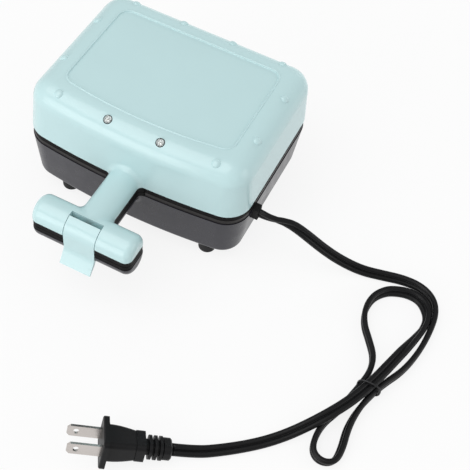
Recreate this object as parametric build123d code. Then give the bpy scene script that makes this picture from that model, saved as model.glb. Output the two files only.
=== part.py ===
"""Small countertop sandwich maker: hinged lid, T handle, latch clip and mains cord.

Millimetres. +X runs along the long side, +Y towards the hinge, +Z up. Every shape is drawn about
the middle of the body, on the surface that the feet stand on. The last step moves all of them so
that the origin is the middle of the whole footprint, handle, hinge and bushing included.
"""
import math
import os
from build123d import *

# Body outline, at its widest
body_length = 138.2
body_depth = 100.8
front_bow = 5.4
body_corner = 15.5

# Heights of the layers, from the feet up
foot_height = 9.5
base_wall_height = 30.4
base_band = 3.1
parting_gap = 0.4
lid_band = 3.5
lid_height = 33.3

# Base shell
base_wall = 2.4
base_draft = 2.8
base_bottom_round = 3.5

# Lid cover
cover_wall = 2.2
cover_draft = 2.7
shoulder_radius = 12.5
panel_side = 17.2
panel_end = 16.8
panel_length = body_length - 2 * panel_side
panel_depth = body_depth - 2 * panel_end
panel_bow = 4.9
panel_corner = 7.0
panel_recess = 0.6
panel_slope = 0.9
panel_edge_round = 0.45

# Domes and lamps along the lid's shoulder
dome_radius = 2.6
dome_height = 1.1
dome_angle = 30.0
dome_skirt = 0.4
dome_pitch = 32.0
side_dome_spacing = 36.0
side_dome_shift = 1.0
seam_turn = 0.013

# Frames between the shells and the plates
frame_inset = 0.4
skirt_clearance = 0.25
skirt_height = 3.8
ledge_thickness = 3.4
ledge_gap = 1.0
plate_clearance = 0.4

# Cooking plates
plate_side = 11.1
plate_end = 8.4
plate_length = body_length - 2 * plate_side
plate_depth = body_depth - 2 * plate_end
plate_corner = 8.0
plate_rim = 2.6
plate_setback = 0.2
pocket_border = 10.0
pocket_length = plate_length - 2 * pocket_border
pocket_depth = plate_depth - 2 * pocket_border
pocket_corner = 12.0
pocket_height = 12.0
pocket_draft = 2.0
pocket_round = 4.0
pocket_outer_round = 5.0
plate_wall = 2.4
crimp_width = 2.4
crimp_depth = 0.8
crimp_margin = 1.4

# Heating elements, their clamps and shields
heater_radius = 3.25
heater_side = 14.0
heater_end = 17.0
heater_leg_spacing = pocket_depth - 2 * heater_side
heater_leg_length = pocket_length - 2 * heater_end
heater_pin_radius = 1.2
heater_pin_length = 6.0
heater_seat_gap = 0.1
clamp_width = 12.0
clamp_thickness = 1.2
clamp_overhang = 3.0
clamp_corner = 3.0
clamp_boss_radius = 4.0
clamp_hole_stop = 0.5
clamp_tip_gap = 1.5
shield_overlap = 1.0
shield_thickness = 0.8
shield_length = pocket_length + 2 * shield_overlap
shield_depth = pocket_depth + 2 * shield_overlap
shield_corner = 8.0
shield_lip = 4.0

# Screws
screw_radius = 1.5
screw_head_radius = 2.7
screw_head_height = 1.9
screw_clearance = 0.25
drive_radius = 1.1
drive_depth = 0.9
post_side = 12.6
post_end = 11.9
post_x = body_length / 2 - post_side
post_y = body_depth / 2 - post_end
post_radius = 4.0
boss_radius = 4.4
post_length = 14.0
post_hole_stop = 2.0
case_screw_stop = 3.0
case_screw_sink = 5.0
lid_screw_reach = 10.0
head_setback = 0.1

# Small screws: plates, handle, lamp board, clamp bar and terminals
small_screw_radius = 1.25
small_head_radius = 2.2
small_head_height = 1.5
small_drive_radius = 0.9
small_drive_depth = 0.8
plate_screw_side = 3.0
plate_screw_x = plate_length / 2 - plate_screw_side
plate_screw_length = 5.2
plate_screw_stop = 0.6
plate_seat_radius = 2.3
plate_seat_depth = 1.6

# Handle
handle_radius = 9.4
arm_radius = 9.1
handle_wall = 2.2
crossbar_reach = 45.1
crossbar_y = -body_depth / 2 - crossbar_reach
crossbar_length = 60.6
crossbar_end_round = 4.5
handle_blend = 4.0
arm_root_blend = 3.2
strip_inset = 0.15
strip_joint = 0.2
strip_sink = 1.8
handle_screw_x = 20.0
handle_screw_depth = 5.0
handle_head_radius = 2.5
handle_head_setback = 0.2
handle_boss_radius = 3.0

# Latch clip
clip_width = 18.8
clip_side_gap = 0.35
clip_thickness = 2.0
clip_back_angle = 102.0
clip_back_gap = 3.2
clip_slot_setback = 2.0
clip_drop = 8.9
clip_flare = 5.2
clip_flare_drop = 10.0
clip_flare_lean = (0.62, 0.78)
clip_flare_middle = (0.35, 0.5)
clip_flare_middle_inside = (0.33, 0.56)
clip_tip_share = 0.6
clip_web_reach = 3.0
clip_web_thickness = 2.4
clip_web_overlap = 0.5
latch_pivot_back = 2.3
latch_pivot_rise = 3.3
latch_pin_radius = 1.5
latch_hub_radius = 3.1
latch_hub_room = 0.4
latch_hub_gap = 4.4
latch_pin_skin = 0.6
latch_pin_play = 0.2
pin_clearance = 0.05
catch_gap = 0.3
catch_undercut = 1.2
hook_reach = 0.9
hook_root = 0.6
hook_height = 2.2
hook_side = 1.5
catch_height = 4.0
notch_depth = 3.4
spring_wire = 0.35
spring_turns = 5
spring_turn_gap = 0.05
spring_bore_gap = 0.3
spring_room = 0.6

# Hinge
hinge_back = 6.6
hinge_x = 36.0
hinge_lug_width = 8.0
hinge_ear_width = 4.0
hinge_gap = 0.3
hinge_knuckle = 4.4
hinge_pin_radius = 1.5
hinge_pin_head = 2.4
hinge_pin_head_thickness = 1.0
heel_reach = 6.1
heel_width = 3.0
heel_turn = 12.0
lug_root = 2.0

# Feet
foot_side = 22.7
foot_shift = 1.6
foot_front = 8.2
foot_back = 11.0
foot_x = body_length / 2 - foot_side
foot_front_y = -body_depth / 2 + foot_front
foot_back_y = body_depth / 2 - foot_back
foot_radius = 5.4
foot_tip_radius = 5.2
foot_round = 1.6
foot_stem_radius = 2.2
foot_flange_radius = 3.2
foot_flange_height = 1.2
foot_hole_clearance = 0.1

# Cord exit, clamp and terminals
exit_end = 20.0
exit_y = -body_depth / 2 + exit_end
exit_cut_in = 12.0
exit_cut_out = 5.0
bushing_width = 5.6
bushing_height = 8.4
bushing_reach = 3.4
bushing_collar = 1.6
bushing_round = 1.0
bushing_clearance = 0.15
bushing_notch = 8.0
cord_slot_width = 3.7
cord_slot_height = 6.9
terminal_size = (10.0, 29.0, 8.0)
terminal_side = 13.3
terminal_x = -body_length / 2 + terminal_side
terminal_pad = 1.5
terminal_round = 1.5
terminal_pitch = 5.5
tunnel_radius = 1.8
tunnel_access_radius = 1.6
terminal_screw_end = 4.5
terminal_screw_depth = 2.0
terminal_sink_radius = 2.5
terminal_sink_height = 3.0
blind_spare = 0.5
clamp_bar_size = (4.6, 14.6, 2.4)
clamp_bar_side = 6.1
clamp_bar_x = body_length / 2 - clamp_bar_side
clamp_bar_round = 1.2
clamp_seat_drop = 4.6
clamp_bar_screw_end = 2.4
clamp_bar_screw_length = 6.0

# Thermostat, cut-out and lamp board
thermostat_radius = 7.0
thermostat_height = 5.4
thermostat_step = 2.0
thermostat_cap_inset = 1.5
thermostat_x = 24.0
tab_size = (0.8, 3.2, 2.2)
tab_sink = 1.0
tab_spacing = 6.4
fuse_radius = 2.0
fuse_length = 12.0
fuse_lead_radius = 0.6
fuse_lead_length = 5.0
fuse_gap = 0.75
fuse_y = heater_leg_spacing / 2 - heater_radius - fuse_radius - fuse_gap
lamp_radius = 2.5
lamp_height = 8.6
lamp_flange_radius = 2.9
lamp_flange_height = 1.0
lamp_hole_clearance = 0.15
lamp_rise = 2.3
board_thickness = 1.6
board_overhang = 4.5
board_depth = 9.0
board_screw_x = 8.0
board_screw_length = 4.4
board_hole_depth = 4.0

# Plug
plug_offset = (-9.9, -152.3, 12.6)
plug_yaw = 206.5
plug_pitch = 11.1
plug_roll = 24.3
flange_width = 22.7
flange_height = 17.1
flange_thickness = 3.0
flange_corner = 2.4
flange_edge = 0.5
flange_step = 0.5
flange_step_rim = 0.5
blade_spacing = 12.7
blade_width = 6.35
blade_thickness = 1.5
blade_length = 17.0
blade_hole_radius = 1.55
blade_hole_back = 4.6
blade_chamfer = 1.5
plug_body_length = 13.8
plug_body_steps = (0.0, 0.33, 0.67, 1.0)
plug_body_width = (17.0, 16.6, 15.4, 13.7)
plug_body_height = (12.2, 12.0, 11.3, 10.3)
plug_body_corner = 2.6
collar_length = 4.6
collar_width = 14.3
collar_height = 10.9
collar_corner = 2.6
rib_count = 3
rib_pitch = 2.75
rib_thickness = 1.5
rib_width = 12.4
rib_height = 9.8
rib_corner = 3.9
neck_width = 8.6
neck_height = 6.4
neck_corner = 2.8
relief_length = 4.2
relief_width = 11.4
relief_height = 8.8
relief_corner = 3.4
relief_edge = 0.8

# Cord
cord_diameter = 4.9
cord_bend_share = 0.45
cord_gap = 0.1
cord_plug_run = 13.5
tie_offset = (100.7, -53.6)
tie_heading = 252.0
tie_wire = 1.0
tie_gap = 0.15
tie_width = 11.9
tie_corner = 3.0

# How far cuts run past a face
spare = 1.0

# Levels worked out from the heights
base_bottom = foot_height
base_top = base_bottom + base_wall_height
parting_low = base_top + base_band
parting_high = parting_low + parting_gap
lid_edge = parting_high + lid_band
lid_top = lid_edge + lid_height
parting_middle = (parting_low + parting_high) / 2

# The plates lie the same way about the parting plane
plate_face = parting_gap / 2 + plate_setback
ledge_face = plate_face + plate_rim
pocket_outer = plate_face + pocket_height + plate_wall
heater_centre = pocket_outer + heater_seat_gap + heater_radius
clamp_face = heater_centre + heater_radius + heater_seat_gap
shield_face = clamp_face + clamp_thickness
shield_back = shield_face + shield_thickness

front_y = -body_depth / 2 - front_bow
back_y = body_depth / 2
hinge_y = back_y + hinge_back
channel_half = clip_width / 2 + clip_side_gap
latch_pivot = (crossbar_y - latch_pivot_back, lid_edge + latch_pivot_rise)
exit_corner = (body_length / 2, exit_y)
cord_exit_level = base_top - bushing_height / 2
cord_low = cord_diameter / 2
cord_tied = cord_low + tie_wire + 2 * tie_gap
cord_over = cord_tied + cord_diameter + tie_gap
middle_x = bushing_reach / 2
middle_y = (hinge_y + hinge_knuckle + crossbar_y - handle_radius - clip_flare) / 2

# The cord's corners on the floor, from the place where it leaves the body
cord_corners = [
    (12.1, 0.0, cord_exit_level),
    (22.2, 2.0, 33.6),
    (31.5, 4.8, 27.6),
    (41.6, 8.6, 19.2),
    (53.9, 11.5, 10.6),
    (67.0, 14.8, 4.4),
    (79.2, 19.0, cord_low),
    (91.5, 21.4, cord_low),
    (102.9, 21.9, cord_low),
    (112.6, 18.2, cord_low),
    (118.3, 9.4, cord_low),
    (119.1, -4.1, cord_low),
    (115.7, -19.2, 2.7),
    (110.5, -34.4, 3.2),
    (105.8, -47.8, cord_tied),
    (102.1, -59.8, cord_tied),
    (99.8, -71.2, 2.9),
    (99.2, -81.8, cord_low),
    (99.7, -92.6, cord_low),
    (98.7, -101.0, cord_low),
    (94.6, -104.5, cord_low),
    (89.2, -104.4, cord_low),
    (85.2, -100.8, cord_low),
    (84.0, -92.8, cord_low),
    (85.1, -83.8, cord_low),
    (89.1, -74.8, 2.8),
    (93.6, -66.2, cord_tied),
    (97.2, -56.6, cord_tied),
    (98.3, -46.2, cord_tied),
    (95.2, -35.1, 2.9),
    (88.3, -26.2, cord_low),
    (81.8, -17.9, cord_low),
    (78.6, -8.3, cord_low),
    (79.7, 2.1, cord_low),
    (84.9, 10.6, cord_low),
    (90.5, 14.5, cord_low),
    (97.2, 16.4, cord_low),
    (104.1, 15.3, cord_low),
    (109.8, 11.1, cord_low),
    (113.0, 4.9, cord_low),
    (113.2, -4.1, 2.6),
    (111.5, -14.9, 3.9),
    (108.2, -26.4, 6.6),
    (104.5, -38.0, 8.4),
    (100.7, -49.0, cord_over),
    (96.7, -59.8, cord_over),
    (91.9, -70.4, cord_over),
    (85.9, -80.8, 8.4),
    (78.9, -90.2, 6.4),
    (71.0, -99.2, 3.6),
    (62.4, -107.8, cord_low),
    (53.7, -115.5, cord_low),
    (44.3, -122.8, cord_low),
]


def body_outline(inset=0.0):
    """The body's plan outline, a rounded rectangle with a bowed front, drawn in by inset."""
    half_x = body_length / 2 - inset
    half_y = body_depth / 2 - inset
    sides = Polyline((-half_x, -half_y), (-half_x, half_y), (half_x, half_y), (half_x, -half_y))
    front = ThreePointArc((half_x, -half_y), (0, -half_y - front_bow), (-half_x, -half_y))
    face = make_face([*sides.edges(), front])
    return fillet(face.vertices(), body_corner - inset)


def panel_outline(inset=0.0):
    """The outline of the top panel, with its own bow."""
    half_x = panel_length / 2 - inset
    half_y = panel_depth / 2 - inset
    sides = Polyline((-half_x, -half_y), (-half_x, half_y), (half_x, half_y), (half_x, -half_y))
    front = ThreePointArc((half_x, -half_y), (0, -half_y - panel_bow), (-half_x, -half_y))
    face = make_face([*sides.edges(), front])
    return fillet(face.vertices(), panel_corner - inset)


def drafted(z_from, z_to, inset_from, inset_to):
    """A solid between the body outline at two levels, straight walled."""
    lower = Pos(0, 0, z_from) * body_outline(inset_from)
    upper = Pos(0, 0, z_to) * body_outline(inset_to)
    return loft([lower, upper], ruled=True)


def slab(outline, z_from, z_to):
    """A plan outline made solid between two levels."""
    return extrude(Pos(0, 0, z_from) * outline, amount=z_to - z_from)


def upright(x, y, radius, z_from, z_to):
    """A round bar that stands on a plan point between two levels."""
    return Pos(x, y, (z_from + z_to) / 2) * Cylinder(radius, abs(z_to - z_from))


def block(x, y, z):
    """A box from three pairs of limits."""
    size = (x[1] - x[0], y[1] - y[0], z[1] - z[0])
    return Pos((x[0] + x[1]) / 2, (y[0] + y[1]) / 2, (z[0] + z[1]) / 2) * Box(*size)


def one(shape):
    """The single solid that a shape holds."""
    solids = shape.solids()
    if len(solids) != 1:
        raise ValueError(f"expected one solid, found {len(solids)}")
    return solids[0]


def four_corners(x, y):
    """The four plan points at plus and minus x and y."""
    return [(sx * x, sy * y) for sx in (-1, 1) for sy in (-1, 1)]


def flipped(shape):
    """A shape made for the base, turned over the parting plane for the lid."""
    return mirror(shape, about=Plane.XY.offset(parting_middle))


# Domes and lamps on the shoulder

def shoulder_point(x, side):
    """A point on the shoulder and its outward normal: side is front, back, left or right."""
    angle = math.radians(dome_angle)
    out, up = math.sin(angle), math.cos(angle)
    level = lid_top - shoulder_radius + shoulder_radius * up
    reach = shoulder_radius - shoulder_radius * out
    if side in ("front", "back"):
        bow = front_bow * (1 - (x / (body_length / 2)) ** 2) if side == "front" else 0.0
        y = body_depth / 2 - cover_draft + bow - reach
        sign = -1 if side == "front" else 1
        return (x, sign * y, level), (0, sign * out, up)
    sign = -1 if side == "left" else 1
    x_side = body_length / 2 - cover_draft - reach
    return (sign * x_side, x, level), (sign * out, 0, up)


def lamp_planes():
    """The frame of each lamp, left then right, with its Z out of the shoulder."""
    planes = []
    for x in (-dome_pitch / 2, dome_pitch / 2):
        point, normal = shoulder_point(x, "front")
        planes.append(Plane(origin=point, x_dir=(1, 0, 0), z_dir=normal))
    return planes


def dome_points():
    """The places of the ten moulded domes."""
    places = [shoulder_point(x * dome_pitch, "back") for x in (-1.5, -0.5, 0.5, 1.5)]
    places += [shoulder_point(x * dome_pitch, "front") for x in (-1.5, 1.5)]
    for side in ("left", "right"):
        places += [shoulder_point(y * side_dome_spacing / 2 - side_dome_shift, side) for y in (-1, 1)]
    return places


# Handle shapes, shared by the two halves

def handle_plan(inset=0.0):
    """The T of the handle in plan, from the body's front to the crossbar."""
    arm = Pos(0, (crossbar_y + front_y) / 2) * Rectangle(2 * (arm_radius - inset), front_y - crossbar_y)
    depth = 2 * (handle_radius - inset)
    bar = Pos(0, crossbar_y) * RectangleRounded(crossbar_length - 2 * inset, depth, crossbar_end_round)
    plan = arm + bar
    middle = (crossbar_y + front_y) / 2
    inner = [v for v in plan.vertices() if abs(v.X) < arm_radius + spare and v.Y < middle]
    plan = fillet(inner, handle_blend)
    for side in (-1, 1):
        root_x = side * (arm_radius - inset + arm_root_blend / 2)
        root = Pos(root_x, front_y) * Rectangle(arm_root_blend, 2 * arm_root_blend)
        round_x = side * (arm_radius - inset + arm_root_blend)
        plan = plan + (root - Pos(round_x, front_y - arm_root_blend) * Circle(arm_root_blend))
    return plan


def handle_bars(inset=0.0):
    """The arm and crossbar as full round bars about the level of their flat, at Z = 0."""
    bar_length = crossbar_length - 2 * inset
    bar = Pos(0, crossbar_y, 0) * Rot(0, 90, 0) * Cylinder(handle_radius - inset, bar_length)
    ends = [e for e in bar.edges().filter_by(GeomType.CIRCLE)]
    bar = fillet(ends, crossbar_end_round - inset / 2)
    arm_from = front_y + base_wall if inset == 0 else front_y - spare
    arm_length = arm_from - crossbar_y
    arm = Pos(0, (arm_from + crossbar_y) / 2, 0) * Rot(90, 0, 0) * Cylinder(arm_radius - inset, arm_length)
    joined = bar + arm
    if inset == 0:
        joined = fillet(handle_seam(joined), handle_blend)
    return joined


def handle_seam(joined):
    """The edges where the arm runs into the crossbar."""
    seam = []
    for edge in joined.edges():
        centre = edge.center()
        if edge.geom_type not in (GeomType.CIRCLE, GeomType.LINE) and centre.Y > crossbar_y:
            if abs(centre.X) < arm_radius + spare and centre.Y < (crossbar_y + front_y) / 2:
                seam.append(edge)
    return seam


def clip_channel(z_from, z_to, y_back):
    """The space that the clip takes out of the crossbar between two levels."""
    front = crossbar_y - handle_radius - 2 * spare
    return block((-channel_half, channel_half), (front, y_back), (z_from, z_to))


def handle_space(z_from, z_to):
    """The space that one half of the handle keeps to."""
    front = crossbar_y - 2 * handle_radius
    return block((-crossbar_length, crossbar_length), (front, front_y + 2 * handle_radius), (z_from, z_to))


def root_seam(shell, z_from, z_to):
    """The edges where the arm runs into the body's front wall, between two levels."""
    seam = []
    for edge in shell.edges():
        centre = edge.center()
        near = abs(centre.X) < arm_radius + spare and abs(centre.Y - front_y) < handle_blend
        if near and z_from < centre.Z < z_to and edge.geom_type not in (GeomType.LINE, GeomType.CIRCLE):
            seam.append(edge)
    return seam


# Lid

def panel_rim(shell):
    """The upper edges of the recessed panel."""
    rim = []
    for edge in shell.edges():
        centre = edge.center()
        across = abs(centre.X) < panel_length / 2 + spare
        along = abs(centre.Y) < panel_depth / 2 + panel_bow + spare
        if across and along and abs(centre.Z - lid_top) < panel_recess / 2:
            rim.append(edge)
    return rim


def lid_cover():
    """The lid's shell with its recessed panel, domes, screw bosses and half of the T handle."""
    outer = drafted(lid_edge, lid_top, 0.0, cover_draft)
    outer = fillet(outer.edges().group_by(Axis.Z)[-1], shoulder_radius)
    upper_half = handle_space(lid_edge, lid_edge + handle_radius + spare)
    handle = (Pos(0, 0, lid_edge) * handle_bars()) & upper_half
    shell = outer + handle
    shell = fillet(root_seam(shell, lid_edge, lid_edge + handle_radius), arm_root_blend)

    draft_rate = cover_draft / lid_height
    inner_top = lid_top - panel_recess - cover_wall
    inner = drafted(lid_edge - spare, inner_top, cover_wall - draft_rate * spare,
                    cover_wall + cover_draft - draft_rate * (panel_recess + cover_wall))
    inner = fillet(inner.edges().group_by(Axis.Z)[-1], shoulder_radius - cover_wall)

    bosses = [upright(x, y, boss_radius, lid_skirt_top(), inner_top + spare)
              for x, y in four_corners(post_x, post_y)]
    hole_end = lid_skirt_top() + lid_screw_reach + spare
    holes = [upright(x, y, screw_radius + pin_clearance, lid_skirt_top() - spare, hole_end)
             for x, y in four_corners(post_x, post_y)]
    inner = inner - bosses

    board_posts = []
    for plane in lamp_planes():
        side = 1 if plane.origin.X > 0 else -1
        place = Location(plane) * Pos(-side * board_screw_x, 0, -(lamp_height - lamp_rise) / 2)
        board_posts.append(place * Cylinder(handle_boss_radius, lamp_height - lamp_rise))
    shell = shell - (inner - board_posts)

    top = Pos(0, 0, lid_top) * panel_outline()
    floor = Pos(0, 0, lid_top - panel_recess) * panel_outline(panel_slope)
    shell = shell - loft([floor, top], ruled=True)
    shell = fillet(panel_rim(shell), panel_edge_round)

    for point, normal in dome_points():
        sphere = (dome_radius ** 2 + dome_height ** 2) / (2 * dome_height)
        centre = [p + n * (dome_height - sphere) for p, n in zip(point, normal)]
        cap_plane = Plane(origin=point, x_dir=(1, seam_turn, 0), z_dir=normal)
        skirt = Location(cap_plane) * Cylinder(dome_radius + dome_skirt, 2 * dome_height)
        shell = shell + ((Pos(*centre) * Sphere(sphere)) & skirt)

    for plane in lamp_planes():
        shell = shell - Location(plane) * Cylinder(lamp_radius + lamp_hole_clearance, 3 * cover_wall)
        side = 1 if plane.origin.X > 0 else -1
        screw_hole = Pos(-side * board_screw_x, 0,
                         -(lamp_height - lamp_rise) + (board_hole_depth - spare) / 2)
        hole = Cylinder(small_screw_radius + pin_clearance, board_hole_depth + spare)
        shell = shell - Location(plane) * screw_hole * hole

    inside = (Pos(0, 0, lid_edge) * handle_bars(handle_wall)) & upper_half
    guard = block((-channel_half - handle_wall, channel_half + handle_wall),
                  (crossbar_y - handle_radius, clip_slot_back() + handle_wall),
                  (lid_edge - spare, lid_edge + 2 * handle_radius))
    shell = shell - (inside - guard - handle_posts(lid_edge, lid_edge + handle_radius))
    shell = shell - clip_channel(lid_edge - spare, lid_edge + handle_radius + spare, clip_slot_back())
    shell = shell - latch_bore(channel_half + handle_wall - latch_pin_skin)
    shell = shell - holes
    for x in (-handle_screw_x, handle_screw_x):
        shell = shell - upright(x, crossbar_y, small_screw_radius + pin_clearance, lid_edge - spare,
                                lid_edge + handle_screw_depth + spare)
    return one(shell)


def lid_skirt_top():
    """The level of the lid frame's inner face, where the cover's bosses land."""
    return parting_middle + ledge_face + ledge_thickness


def clip_slot_back():
    """The back wall of the slot behind the clip, just past the crest of the crossbar."""
    return crossbar_y - clip_slot_setback + clip_back_gap


def latch_bore(half_length):
    """The bore through both cheeks of the channel for the latch pin."""
    bore = Cylinder(latch_pin_radius + pin_clearance, 2 * half_length)
    return Pos(0, latch_pivot[0], latch_pivot[1]) * Rot(0, 90, 0) * bore


def handle_posts(z_from, z_to):
    """Screw posts inside the crossbar."""
    return [upright(x, crossbar_y, handle_boss_radius, z_from, z_to)
            for x in (-handle_screw_x, handle_screw_x)]


def frame_ring():
    """The base's frame: a band round the parting, a skirt inside the shell and a ledge for the plate."""
    opening = RectangleRounded(plate_length + 2 * plate_clearance, plate_depth + 2 * plate_clearance,
                               plate_corner + plate_clearance)
    ledge_opening = RectangleRounded(pocket_length + 2 * (plate_wall + ledge_gap),
                                     pocket_depth + 2 * (plate_wall + ledge_gap), pocket_corner)
    ledge_top = parting_middle - ledge_face
    skirt_bottom = ledge_top - ledge_thickness
    ring = slab(body_outline(frame_inset), base_top, parting_low)
    skirt_inset = base_wall + skirt_clearance + base_draft * (base_top - skirt_bottom) / base_wall_height
    ring = ring + slab(body_outline(skirt_inset), skirt_bottom, base_top)
    ring = ring - slab(opening, ledge_top, parting_low + spare)
    return ring - slab(ledge_opening, skirt_bottom - spare, ledge_top + spare)


def plate_screw_bores(radius, z_from, z_to):
    """Bores for the two screws that hold a plate."""
    return [upright(x, 0, radius, z_from, z_to) for x in (-plate_screw_x, plate_screw_x)]


def base_frame():
    """The base's frame with its screw posts and hinge lugs."""
    ledge_top = parting_middle - ledge_face
    skirt_bottom = ledge_top - ledge_thickness
    frame = frame_ring()
    for x, y in four_corners(post_x, post_y):
        frame = frame + upright(x, y, post_radius, skirt_bottom - post_length, skirt_bottom + spare)
        frame = frame - upright(x, y, screw_radius + pin_clearance, skirt_bottom - post_length - spare,
                                skirt_bottom - post_hole_stop)
    for x in (-hinge_x, hinge_x):
        arm = block((x - hinge_lug_width / 2, x + hinge_lug_width / 2),
                    (back_y - frame_inset - lug_root, hinge_y),
                    (base_top, parting_low))
        frame = frame + arm + knuckle(x, hinge_lug_width)
        frame = frame - hinge_bore(x, hinge_lug_width + spare)
    frame = frame - plate_screw_bores(screw_radius + pin_clearance, ledge_top - plate_screw_length,
                                      ledge_top + spare)
    reach = bushing_width / 2 + skirt_clearance
    frame = frame - block((body_length / 2 - bushing_notch, body_length / 2 + spare),
                          (exit_y - reach, exit_y + reach),
                          (skirt_bottom - spare, base_top))
    return one(frame)


def lid_frame():
    """The lid's frame with its hinge ears and their heels."""
    frame = flipped(frame_ring())
    frame = frame & block((-body_length, body_length), (-body_length, body_length), (parting_high, lid_top))
    ledge_bottom = parting_middle + ledge_face
    for x, y in four_corners(post_x, post_y):
        frame = frame - upright(x, y, screw_radius + screw_clearance, ledge_bottom - spare,
                                lid_skirt_top() + spare)
        frame = frame - upright(x, y, screw_head_radius + screw_clearance, ledge_bottom - spare,
                                ledge_bottom + screw_head_height)
    frame = frame - plate_screw_bores(screw_radius + pin_clearance, ledge_bottom - spare,
                                      ledge_bottom + plate_screw_length)
    for x in (-hinge_x, hinge_x):
        for side in (-1, 1):
            ear_x = x + side * (hinge_lug_width / 2 + hinge_gap + hinge_ear_width / 2)
            arm = block((ear_x - hinge_ear_width / 2, ear_x + hinge_ear_width / 2),
                        (back_y - frame_inset - lug_root, hinge_y), (parting_high, lid_edge))
            heel = Pos(ear_x, hinge_y, parting_middle) * Rot(heel_turn, 0, 0) * Pos(0, 0, -heel_reach / 2)
            heel = heel * Box(hinge_ear_width, heel_width, heel_reach)
            frame = frame + arm + knuckle(ear_x, hinge_ear_width) + heel
            frame = frame - hinge_bore(ear_x, hinge_ear_width + spare)
    return one(frame)


def knuckle(x, width):
    """A round hinge knuckle about the hinge axis."""
    return Pos(x, hinge_y, parting_middle) * Rot(0, 90, 0) * Cylinder(hinge_knuckle, width)


def hinge_bore(x, width):
    """The bore through a knuckle."""
    bore = Cylinder(hinge_pin_radius + pin_clearance, width)
    return Pos(x, hinge_y, parting_middle) * Rot(0, 90, 0) * bore


def hinge_pin(x):
    """A hinge pin with a head at each side of its ears."""
    length = hinge_lug_width + 2 * (hinge_gap + hinge_ear_width + hinge_gap)
    pin = Cylinder(hinge_pin_radius, length)
    for side in (-1, 1):
        place = Pos(0, 0, side * (length + hinge_pin_head_thickness) / 2)
        pin = pin + place * Cylinder(hinge_pin_head, hinge_pin_head_thickness)
    return one(Pos(x, hinge_y, parting_middle) * Rot(0, 90, 0) * pin)


def handle_strip(z_from, z_to):
    """The black strip that closes a handle half, flush with it, open where the clip passes."""
    strip = slab(handle_plan(strip_inset), z_from, z_to)
    joint = frame_inset - strip_joint
    strip = strip - drafted(z_from - spare, z_to + spare, joint, joint)
    for x in (-handle_screw_x, handle_screw_x):
        strip = strip - upright(x, crossbar_y, small_screw_radius + screw_clearance, z_from - spare,
                                z_to + spare)
    return strip


def upper_handle_strip():
    """The strip under the lid's half of the handle."""
    strip = handle_strip(parting_high, lid_edge)
    hub_back = latch_pivot[0] + latch_hub_radius + latch_hub_room
    strip = strip - clip_channel(parting_high - spare, lid_edge + spare, hub_back)
    for x in (-handle_screw_x, handle_screw_x):
        strip = strip - upright(x, crossbar_y, screw_head_radius, parting_high - spare,
                                parting_high + strip_sink)
    return one(strip)


def lower_handle_strip():
    """The strip on the base's half of the handle."""
    strip = handle_strip(base_top, parting_low)
    strip = strip - clip_channel(base_top - spare, parting_low + spare,
                                 crossbar_y - handle_radius + notch_depth)
    for x in (-handle_screw_x, handle_screw_x):
        strip = strip - upright(x, crossbar_y, screw_head_radius, parting_low - strip_sink,
                                parting_low + spare)
    return one(strip)


def handle_screws(z_head, z_tip):
    """Two screws that hold a strip, from the level of the head's top to the tip."""
    down = -1 if z_tip < z_head else 1
    screws = []
    for x in (-handle_screw_x, handle_screw_x):
        head = upright(x, crossbar_y, handle_head_radius, z_head, z_head + down * small_head_height)
        shank = upright(x, crossbar_y, small_screw_radius, z_head + down * small_head_height, z_tip)
        drive = upright(x, crossbar_y, small_drive_radius, z_head - down * spare,
                        z_head + down * small_drive_depth)
        screws.append(one(head + shank - drive))
    return screws


# Latch

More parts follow.
